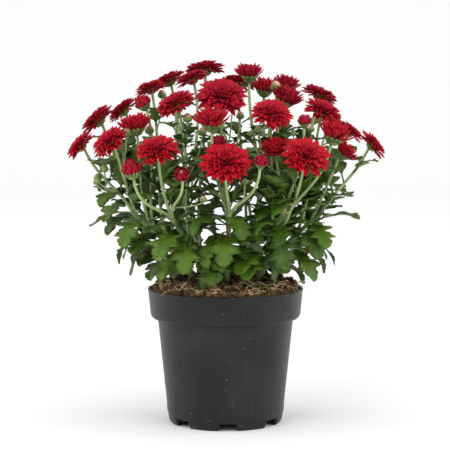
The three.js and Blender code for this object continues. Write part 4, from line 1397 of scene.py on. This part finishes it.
FINE_CUT = LeafCut(
    (
        (0.0, 0.026, 0.0),
        (0.14, 0.021, 0.14),
        (0.255, 0.022, 0.255),
        (0.285, 0.045, 0.275),
        (0.305, 0.085, 0.29),
        (0.318, 0.13, 0.3),
        (0.33, 0.18, 0.31),
        (0.348, 0.222, 0.325),
        (0.37, 0.238, 0.335),
        (0.388, 0.218, 0.345),
        (0.405, 0.262, 0.355),
        (0.432, 0.288, 0.37),
        (0.452, 0.264, 0.38),
        (0.472, 0.302, 0.39),
        (0.498, 0.3, 0.4),
        (0.514, 0.255, 0.41),
        (0.522, 0.185, 0.425),
        (0.531, 0.118, 0.445),
        (0.546, 0.102, 0.465),
        (0.56, 0.145, 0.48),
        (0.572, 0.2, 0.492),
        (0.592, 0.245, 0.505),
        (0.614, 0.232, 0.52),
        (0.636, 0.285, 0.535),
        (0.662, 0.308, 0.55),
        (0.682, 0.282, 0.565),
        (0.704, 0.33, 0.58),
        (0.732, 0.328, 0.595),
        (0.748, 0.285, 0.61),
        (0.756, 0.22, 0.63),
        (0.766, 0.155, 0.66),
        (0.784, 0.138, 0.69),
        (0.802, 0.172, 0.715),
        (0.826, 0.192, 0.74),
        (0.842, 0.165, 0.765),
        (0.864, 0.182, 0.79),
        (0.888, 0.165, 0.815),
        (0.902, 0.13, 0.845),
        (0.928, 0.138, 0.87),
        (0.952, 0.115, 0.9),
        (0.966, 0.08, 0.93),
        (0.984, 0.068, 0.955),
        (0.998, 0.02, 0.99),
    ),
    5,
)
PLAIN_CUT = LeafCut(
    (
        (0.0, 0.030, 0.0),
        (0.22, 0.026, 0.22),
        (0.30, 0.10, 0.27),
        (0.36, 0.20, 0.32),
        (0.44, 0.265, 0.36),
        (0.50, 0.24, 0.40),
        (0.54, 0.13, 0.45),
        (0.585, 0.17, 0.50),
        (0.645, 0.275, 0.54),
        (0.70, 0.275, 0.58),
        (0.745, 0.20, 0.63),
        (0.785, 0.145, 0.69),
        (0.84, 0.165, 0.75),
        (0.90, 0.125, 0.82),
        (0.96, 0.085, 0.90),
        (0.995, 0.025, 0.985),
    ),
    3,
)
FOLD = 0.28  # rise of a blade's halves from its rib, in radians


@dataclass(frozen=True)
class Leaf:
    """A leaf: the stem it belongs to, its root, turn, length, rise and bend in radians, and its cut."""

    stem: str
    root: tuple[float, ...]
    turn: float
    length: float
    rise: float
    bend: float
    cut: LeafCut


def leaf_points(leaves: list[Leaf], along: Array, across: Array, height: Array | float = 0.0) -> Array:
    """Points of leaves: the rib bends down along an arc, so it runs out by L (sin r - sin a) / b and up by
    L (cos a - cos r) / b with a = r - b s, and the blade's halves rise from it by the angle FOLD.

    Args:
        leaves: the leaves.
        along: shares of the length along the leaf.
        across: shares of the length to the side of its rib.
        height: how far over the middle face, for each leaf and point.

    Returns:
        Leaves by points by three.
    """
    lies = np.array([(leaf.length, leaf.rise, leaf.bend) for leaf in leaves])
    length, rise, bend = lies.T[..., None]
    ahead = heading(np.array([leaf.turn for leaf in leaves]))
    root = np.array([leaf.root for leaf in leaves])
    angle = rise - bend * along
    run = length * (np.sin(rise) - np.sin(angle)) / bend
    climb = length * (np.cos(angle) - np.cos(rise)) / bend
    lift = np.abs(across) * length * math.sin(FOLD) + height
    forward = ahead[:, None] * (run - lift * np.sin(angle))[..., None]
    upward = UP * (climb + lift * np.cos(angle))[..., None]
    beside = np.cross(UP, ahead)[:, None] * (across * length * math.cos(FOLD))[..., None]
    return root[:, None] + forward + upward + beside


# Leaves that show in front: main stem, where on it, turn, length, rise and bend. In every table of leaves the
# rise and the bend are radians
FRONT_LEAVES = (
    ("left_front", 1, -100, 36, 0, 0.6),
    ("left", 1, -50, 36, 0.4, 1.4),
    ("left_front", 0.75, -30, 38, 0, 0.6),
    ("front_left", 0.75, -30, 46, 0.4, 1.4),
    ("left_front", 0.5, -70, 30, -0.2, 1),
    ("front", 0.85, -55, 38, 0, 2),
    ("front", 0.5, -55, 36, 0, 1.6),
    ("front", 1, 20, 34, 0.6, 2.2),
    ("front", 0.6, 30, 30, 0.6, 1.4),
    ("front", 0.9, -50, 42, 0.8, 1.8),
    ("front_left", 0.95, 70, 30, 0.6, 0.6),
    ("front_right", 0.55, -20, 38, 0.2, 1.4),
    ("front_right", 0.95, -10, 34, 0, 1),
    ("right_front", 0.7, 30, 46, 0.6, 1.8),
    ("right_front", 0.55, 50, 42, 0, 1),
    ("front_right", 0.7, 50, 30, -0.4, 1),
    ("right_front", 0.9, 60, 42, 0.4, 0.6),
    ("front_right", 1, 80, 34, 0.6, 0.6),
    ("front_right", 0.75, -40, 38, 0.6, 1.4),
    ("front_right", 0.55, 70, 30, -0.2, 2.2),
)
# The other leaves of a main stem: where on it, turn from the stem's own direction, length, rise and bend
STEM_LEAVES = (
    (0.36, 16, 45, 0.4, 1.6),
    (0.5, -62, 45, 0.5, 1.3),
    (0.86, 168, 40, 0.45, 1.2),
    (0.78, -24, 40, 0.2, 1.5),
    (0.9, 48, 36, 0.3, 1.2),
)
# Leaves of the main stems that only the scene has: where on the stem, length, rise and bend
INNER_LEAVES = (
    (0.3, 30, 0.6, 2.0),
    (0.45, 34, 0.5, 2.0),
    (0.62, 42, 0.4, 1.5),
    (0.78, 42, 0.5, 1.4),
    (0.93, 40, 0.5, 1.3),
)
# Leaves of every bloom's stem that only the scene has: where on it, turn from the bloom's own direction,
# length and rise
HIGH_LEAVES = (
    (0.16, -70, 36, 1.0),
    (0.3, 95, 36, 1.1),
    (0.52, 150, 34, 1.1),
    (0.68, -110, 30, 1.1),
    (0.82, 60, 22, 0.9),
)
# Leaves on flower stems that the solids have too: where on it, turn from the bloom's own direction, length,
# rise, bend, the room under which one is left out, and the blooms whose stems have one
TWIG_LEAVES = (
    (0.33, 50, 32, 0.6, 1.3, -math.inf, "01 02 03 05 06 07 09 12 14 20 21 22 24 26 29 30 31 32 33 35 36"),
    (0.42, -70, 40, 1.15, 0.8, 2.0, "07 08 09 10 11 12 13 15 16 17 18 19 20 21 27 33 34 35 36"),
    (0.6, 100, 34, 1.05, 0.9, 2.0, "08 09 10 11 12 13 15 16 17 18 19 20 33 34 35"),
    (0.76, -40, 26, 1.0, 0.9, 2.0, "08 09 10 11 12 13 15 16 17 18 19 20 34 35"),
)
# The main stems that have no lowest leaf, where the peat shows in front
BARE_FEET = ("front", "front_left", "front_right", "left_front", "right_front")


@dataclass
class Foliage:
    """Every leaf, each turned to where it has the most room, in the same order as in the solids."""

    pot: Pot
    peat: Peat
    dots: int = 24
    stem_radius: float = 2.3
    twig_radius: float = 1.15
    rim_reach: float = 3.0
    wander_cost: float = 0.04
    high_bend: float = 0.9
    ripple: float = 0.13
    droop: float = 0.55
    turns: tuple[float, ...] = (0, 14, -14, 28, -28, 42, -42, 56, -56)
    rises: tuple[float, ...] = (0, 0.25, -0.25)
    feelers: tuple[tuple[float, float], ...] = (
        (0.25, 0),
        (0.4, 0),
        (0.44, 0.22),
        (0.44, -0.22),
        (0.56, 0),
        (0.6, 0.16),
        (0.6, -0.16),
        (0.7, 0.28),
        (0.7, -0.28),
        (0.76, 0),
        (0.98, 0),
    )
    fill_turns: tuple[float, ...] = tuple(range(0, 360, 24))
    fill_rises: tuple[float, ...] = (0, 0.3, -0.3)
    least_room: float = 0.0
    leaves: list[Leaf] = field(default_factory=list)

    def __post_init__(self) -> None:
        """Gathers the stems and blooms that leaves keep clear of."""
        t = np.linspace(0, 1, self.dots + 1)
        mains = [stem.line(t) for stem in MAIN_STEMS.values()]
        twigs = [flower.line(t) for flower in FLOWERS]
        balls = [np.array(f.base, float) + f.axis * f.width / 4 for f in FLOWERS]
        self.taken = np.concatenate([*mains, *twigs, balls])
        radii = [self.stem_radius] * len(mains) * len(t) + [self.twig_radius] * len(twigs) * len(t)
        self.radii = np.array(radii + [f.width / 2 for f in FLOWERS])

    def ground(self, radius: Array) -> Array:
        """How high the peat or the pot's rim stands at a distance from the middle."""
        edge = self.pot.inner_radius(self.peat.edge_z) - self.rim_reach
        inside = np.where(radius > edge, self.pot.height, self.peat.even_height(radius))
        return np.where(radius > self.pot.rim + self.rim_reach, 0.0, inside)

    def settle(self, leaf: Leaf, wander: bool = True, least: float = -math.inf) -> None:
        """Tries a leaf's turns and rises and keeps it where it has the most room, less a cost for turning.

        Args:
            leaf: the leaf in its own lie.
            wander: lets it turn and rise from there.
            least: the room under which it is left out.
        """
        turns, rises = (self.turns, self.rises) if wander else ((0.0,), (0.0,))
        lies = [
            Leaf(leaf.stem, leaf.root, leaf.turn + turn, leaf.length, leaf.rise + rise, leaf.bend, leaf.cut)
            for turn in turns
            for rise in rises
        ]
        along, across = np.array(self.feelers).T
        places = leaf_points(lies, along, across)
        flat = places.reshape(-1, 3)
        near = ((self.taken - leaf.root) ** 2).sum(axis=-1) < (1.1 * leaf.length + 30) ** 2
        apart = np.sqrt(((flat[:, None] - self.taken[near][None]) ** 2).sum(axis=-1)) - self.radii[near]
        over = flat[:, 2] - self.ground(np.hypot(flat[:, 0], flat[:, 1]))
        room = np.minimum(apart.min(axis=1), over).reshape(len(lies), -1).min(axis=1)
        wandered = np.array([(lie.turn - leaf.turn + 180) % 360 - 180 for lie in lies])
        score = room - self.wander_cost * np.abs(wandered)
        best = int(np.argmax(score))
        if room[best] < least:
            return
        self.leaves.append(lies[best])
        self.taken = np.concatenate([self.taken, places[best]])
        self.radii = np.concatenate([self.radii, np.zeros(len(along))])

    def grow(self) -> None:
        """Settles the leaves of the solids in their order, then the smaller ones that stand between them."""
        for stem, at, turn, length, rise, bend in FRONT_LEAVES:
            root = tuple(MAIN_STEMS[stem].line(np.array([at]))[0])
            self.settle(Leaf(stem, root, turn, length, rise, bend, FINE_CUT), wander=False)
        for level, (at, turn, length, rise, bend) in enumerate(STEM_LEAVES):
            self.ring_of_leaves(at, turn, length, rise, bend, FINE_CUT, bare=BARE_FEET if level == 0 else ())
        for at, turn, length, rise, bend, least, blooms in TWIG_LEAVES:
            for k, number in enumerate(blooms.split()):
                self.twig_leaf(FLOWERS[int(number) - 1], at, turn * (-1) ** k, length, rise, bend, least)
        kept = len(self.leaves)
        self.turns, self.rises = self.fill_turns, self.fill_rises
        for k, (at, length, rise, bend) in enumerate(INNER_LEAVES):
            bare, turn = BARE_FEET if k == 0 else (), 70 + GOLDEN_TURN * k
            self.ring_of_leaves(at, turn, length, rise, bend, PLAIN_CUT, self.least_room, bare)
        blooms = [flower for flower in FLOWERS if flower.form is not Form.BUD]
        for at, turn, length, rise in HIGH_LEAVES:
            for k, flower in enumerate(blooms):
                self.twig_leaf(flower, at, turn * (-1) ** k, length, rise, self.high_bend, self.least_room)
        log.info("leaves: %d of the solids and %d between them", kept, len(self.leaves) - kept)

    def ring_of_leaves(
        self,
        at: float,
        turn: float,
        length: float,
        rise: float,
        bend: float,
        cut: LeafCut,
        least: float = -math.inf,
        bare: tuple[str, ...] = (),
    ) -> None:
        """Settles one leaf on each main stem but the bare ones, turned to the two sides by turns.

        Args:
            at: where on the stem.
            turn: turn from the stem's own direction.
            length: length of the leaf.
            rise: its rise in radians.
            bend: its bend in radians.
            cut: its outline.
            least: the room under which it is left out.
            bare: the main stems that have none.
        """
        for k, stem in enumerate(MAIN_STEMS.values()):
            if stem.name in bare:
                continue
            root = tuple(stem.line(np.array([at]))[0])
            own_turn = turn_of(np.array(stem.top)) + (-turn if k % 2 else turn)
            self.settle(Leaf(stem.name, root, own_turn, length, rise, bend, cut), least=least)

    def twig_leaf(
        self,
        flower: Flower,
        at: float,
        turn: float,
        length: float,
        rise: float,
        bend: float,
        least: float,
    ) -> None:
        """Settles one small leaf on a flower's stem.

        Args:
            flower: the flower.
            at: where on its stem.
            turn: turn from the flower's own place.
            length: length of the leaf.
            rise: its rise in radians.
            bend: its bend in radians.
            least: the room under which it is left out.
        """
        root = tuple(flower.line(np.array([at]))[0])
        outward = turn_of(np.array(flower.base))
        self.settle(Leaf(flower.stem, root, outward + turn, length, rise, bend, PLAIN_CUT), least=least)

    def build(self, stem: str) -> None:
        """The leaves of one main stem: a ripple that grows with the way across, and edges that droop with its
        square."""
        skin = Skin()
        rng = np.random.default_rng(77 + list(MAIN_STEMS).index(stem))
        for cut in (FINE_CUT, PLAIN_CUT):
            own = [leaf for leaf in self.leaves if leaf.stem == stem and leaf.cut is cut]
            if not own:
                continue
            along, across, thick, uv = cut.sheet()
            size = np.array([leaf.length for leaf in own])[:, None]
            phase = rng.uniform(0, 2 * np.pi, (len(own), 2))
            flat_along, flat_across = along.ravel(), across.ravel()
            wave = np.sin(19 * flat_along + phase[:, :1] + 2.5 * np.sign(flat_across))
            ripple = wave * np.abs(flat_across) * self.ripple
            sway = 0.05 * np.sin(5 * flat_along + phase[:, 1:]) * flat_along
            droop = sway - self.droop * flat_across**2
            points = leaf_points(own, flat_along, flat_across, size * (ripple + droop))
            tone = rng.uniform(-0.7, 1.0, len(own))
            skin.add_lens(points.reshape(len(own), *along.shape, 3), thick, uv, tone)
        skin.make(f"leaves_{stem}", LEAF, (f"leafy_stem_{stem}",))


@dataclass
class Plant:
    """The whole plant: its stems, cups, buds, blooms and leaves."""

    foliage: Foliage
    main_radius: tuple[float, float] = (2.2, 1.5)
    twig_radius: tuple[float, float] = (1.25, 1.0)
    joint_swelling: float = 0.07

    def stems(self, stem: MainStem) -> None:
        """One main stem with its flower stems, and the cups and green buds on them."""
        stalks, cups = Skin(), Skin()
        t = np.linspace(0, 1, 26)
        swelling = 1 + self.joint_swelling * np.sin(t * 34) ** 2
        radii = (mix(*self.main_radius, t) * swelling)[None]
        stalks.add_round(*tubes(stem.line(t)[None], radii, 10, ACROSS), -1.0)
        own = [flower for flower in FLOWERS if flower.stem == stem.name]
        lines = np.stack([flower.line(t) for flower in own])
        radii = np.repeat(mix(*self.twig_radius, t)[None], len(own), axis=0)
        stalks.add_round(*tubes(lines, radii, 8, ACROSS), np.linspace(0.0, 1.0, len(own)))
        for flower in own:
            flower.cup(cups)
        names = {flower.node for flower in own}
        for bud in GREEN_BUDS:
            if bud.flower in names:
                bud.build(stalks, cups)
        node = f"leafy_stem_{stem.name}"
        stalks.make(f"stems_{stem.name}", STALK, (node,))
        cups.make(f"cups_{stem.name}", CUP, (node,))

    def build(self) -> None:
        """Builds every stem, leaf and bloom."""
        self.foliage.grow()
        for stem in MAIN_STEMS.values():
            self.stems(stem)
            self.foliage.build(stem.name)
        for seed, flower in enumerate(FLOWERS):
            flower.petals(seed)


PLANT_MIDDLE = (0.0, 0.0, 0.15)
# Lamps: name, place, where each is aimed, the side of its square and its watts
LAMPS = (
    ("key", (-1.2, -1.7, 2.0), PLANT_MIDDLE, 1.8, 30.0),
    ("fill", (1.5, -1.6, 1.7), PLANT_MIDDLE, 1.8, 22.0),
    ("top", (0.2, 0.0, 2.6), PLANT_MIDDLE, 2.4, 11.0),
    ("left_side", (-1.9, 0.1, 0.8), PLANT_MIDDLE, 1.2, 14.0),
    ("right_side", (1.9, 0.1, 0.8), PLANT_MIDDLE, 1.2, 14.0),
    ("backdrop", (0.0, 2.8, 2.6), (0.0, 2.8, 0.0), 2.4, 6.0),
)


@dataclass
class Studio:
    """The floor, the light and the camera, in metres."""

    floor_half: float = 6.0
    sweep_y: float = 2.0
    sweep: float = 2.0
    camera: Place = (0.0, -1.5, 0.3025)
    pitch: float = 5.7
    lens: float = 156.48
    sensor: float = 36.0
    shift: float = -0.5 / 450
    sky: Colour = (0.97, 0.97, 0.97)
    sky_strength: float = 0.92
    view_end: float = 200.0

    def floor(self) -> None:
        """A plain floor that sweeps up behind the plant: flat, then a quarter circle, then straight up."""
        angle = np.linspace(0, np.pi / 2, 25)
        away, climb = self.sweep_y + self.sweep * np.sin(angle), self.sweep * (1 - np.cos(angle))
        wall_top = (self.sweep_y + self.sweep, self.floor_half)
        line = np.concatenate([[(-self.floor_half, 0)], np.stack([away, climb], axis=-1), [wall_top]])
        points = [(x, y, z) for y, z in line for x in (-self.floor_half, self.floor_half)]
        mesh = bpy.data.meshes.new("floor")
        faces = [(2 * k, 2 * k + 1, 2 * k + 3, 2 * k + 2) for k in range(len(line) - 1)]
        mesh.from_pydata(points, [], faces)
        mesh.polygons.foreach_set("use_smooth", np.full(len(mesh.polygons), True))
        mesh.materials.append(FLOOR.material())
        floor = bpy.data.objects.new("floor", mesh)
        bpy.context.collection.objects.link(floor)

    def light(self, name: str, place: Place, target: Place, size: float, watts: float) -> None:
        """A square soft lamp.

        Args:
            name: its name.
            place: where it stands.
            target: the point that it faces.
            size: the side of its square.
            watts: its power.
        """
        lamp = bpy.data.lights.new(name, "AREA")
        lamp.size, lamp.energy = size, watts
        holder = bpy.data.objects.new(name, lamp)
        bpy.context.collection.objects.link(holder)
        aim = unit(np.array(target) - np.array(place))
        turn = math.atan2(-aim[0], aim[1])
        tilt = math.acos(-aim[2])
        holder.location = place
        holder.rotation_euler = (tilt, 0, turn)

    def build(self) -> None:
        """Sets the camera, the sky and the lights."""
        self.floor()
        lens = bpy.data.cameras.new("camera")
        lens.lens, lens.sensor_width, lens.shift_x = self.lens, self.sensor, self.shift
        lens.clip_end = self.view_end
        camera = bpy.data.objects.new("camera", lens)
        bpy.context.collection.objects.link(camera)
        camera.location = self.camera
        camera.rotation_euler = (math.radians(90 - self.pitch), 0, 0)
        scene = bpy.context.scene
        scene.camera = camera
        scene.view_settings.view_transform = "Standard"
        scene.view_settings.look = "None"
        scene.world = scene.world or bpy.data.worlds.new("studio")
        scene.world.use_nodes = True
        sky = scene.world.node_tree.nodes["Background"]
        sky.inputs["Color"].default_value = (*self.sky, 1.0)
        sky.inputs["Strength"].default_value = self.sky_strength
        for lamp in LAMPS:
            self.light(*lamp)


def main() -> None:
    """Builds the studio, the pot, the peat and the plant."""
    logging.basicConfig(level=logging.INFO, format="%(name)s: %(message)s")
    Studio().build()
    pot = Pot()
    pot.build()
    peat = Peat(pot)
    peat.build()
    Plant(Foliage(pot, peat)).build()
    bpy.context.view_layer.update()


if __name__ == "__main__":
    main()
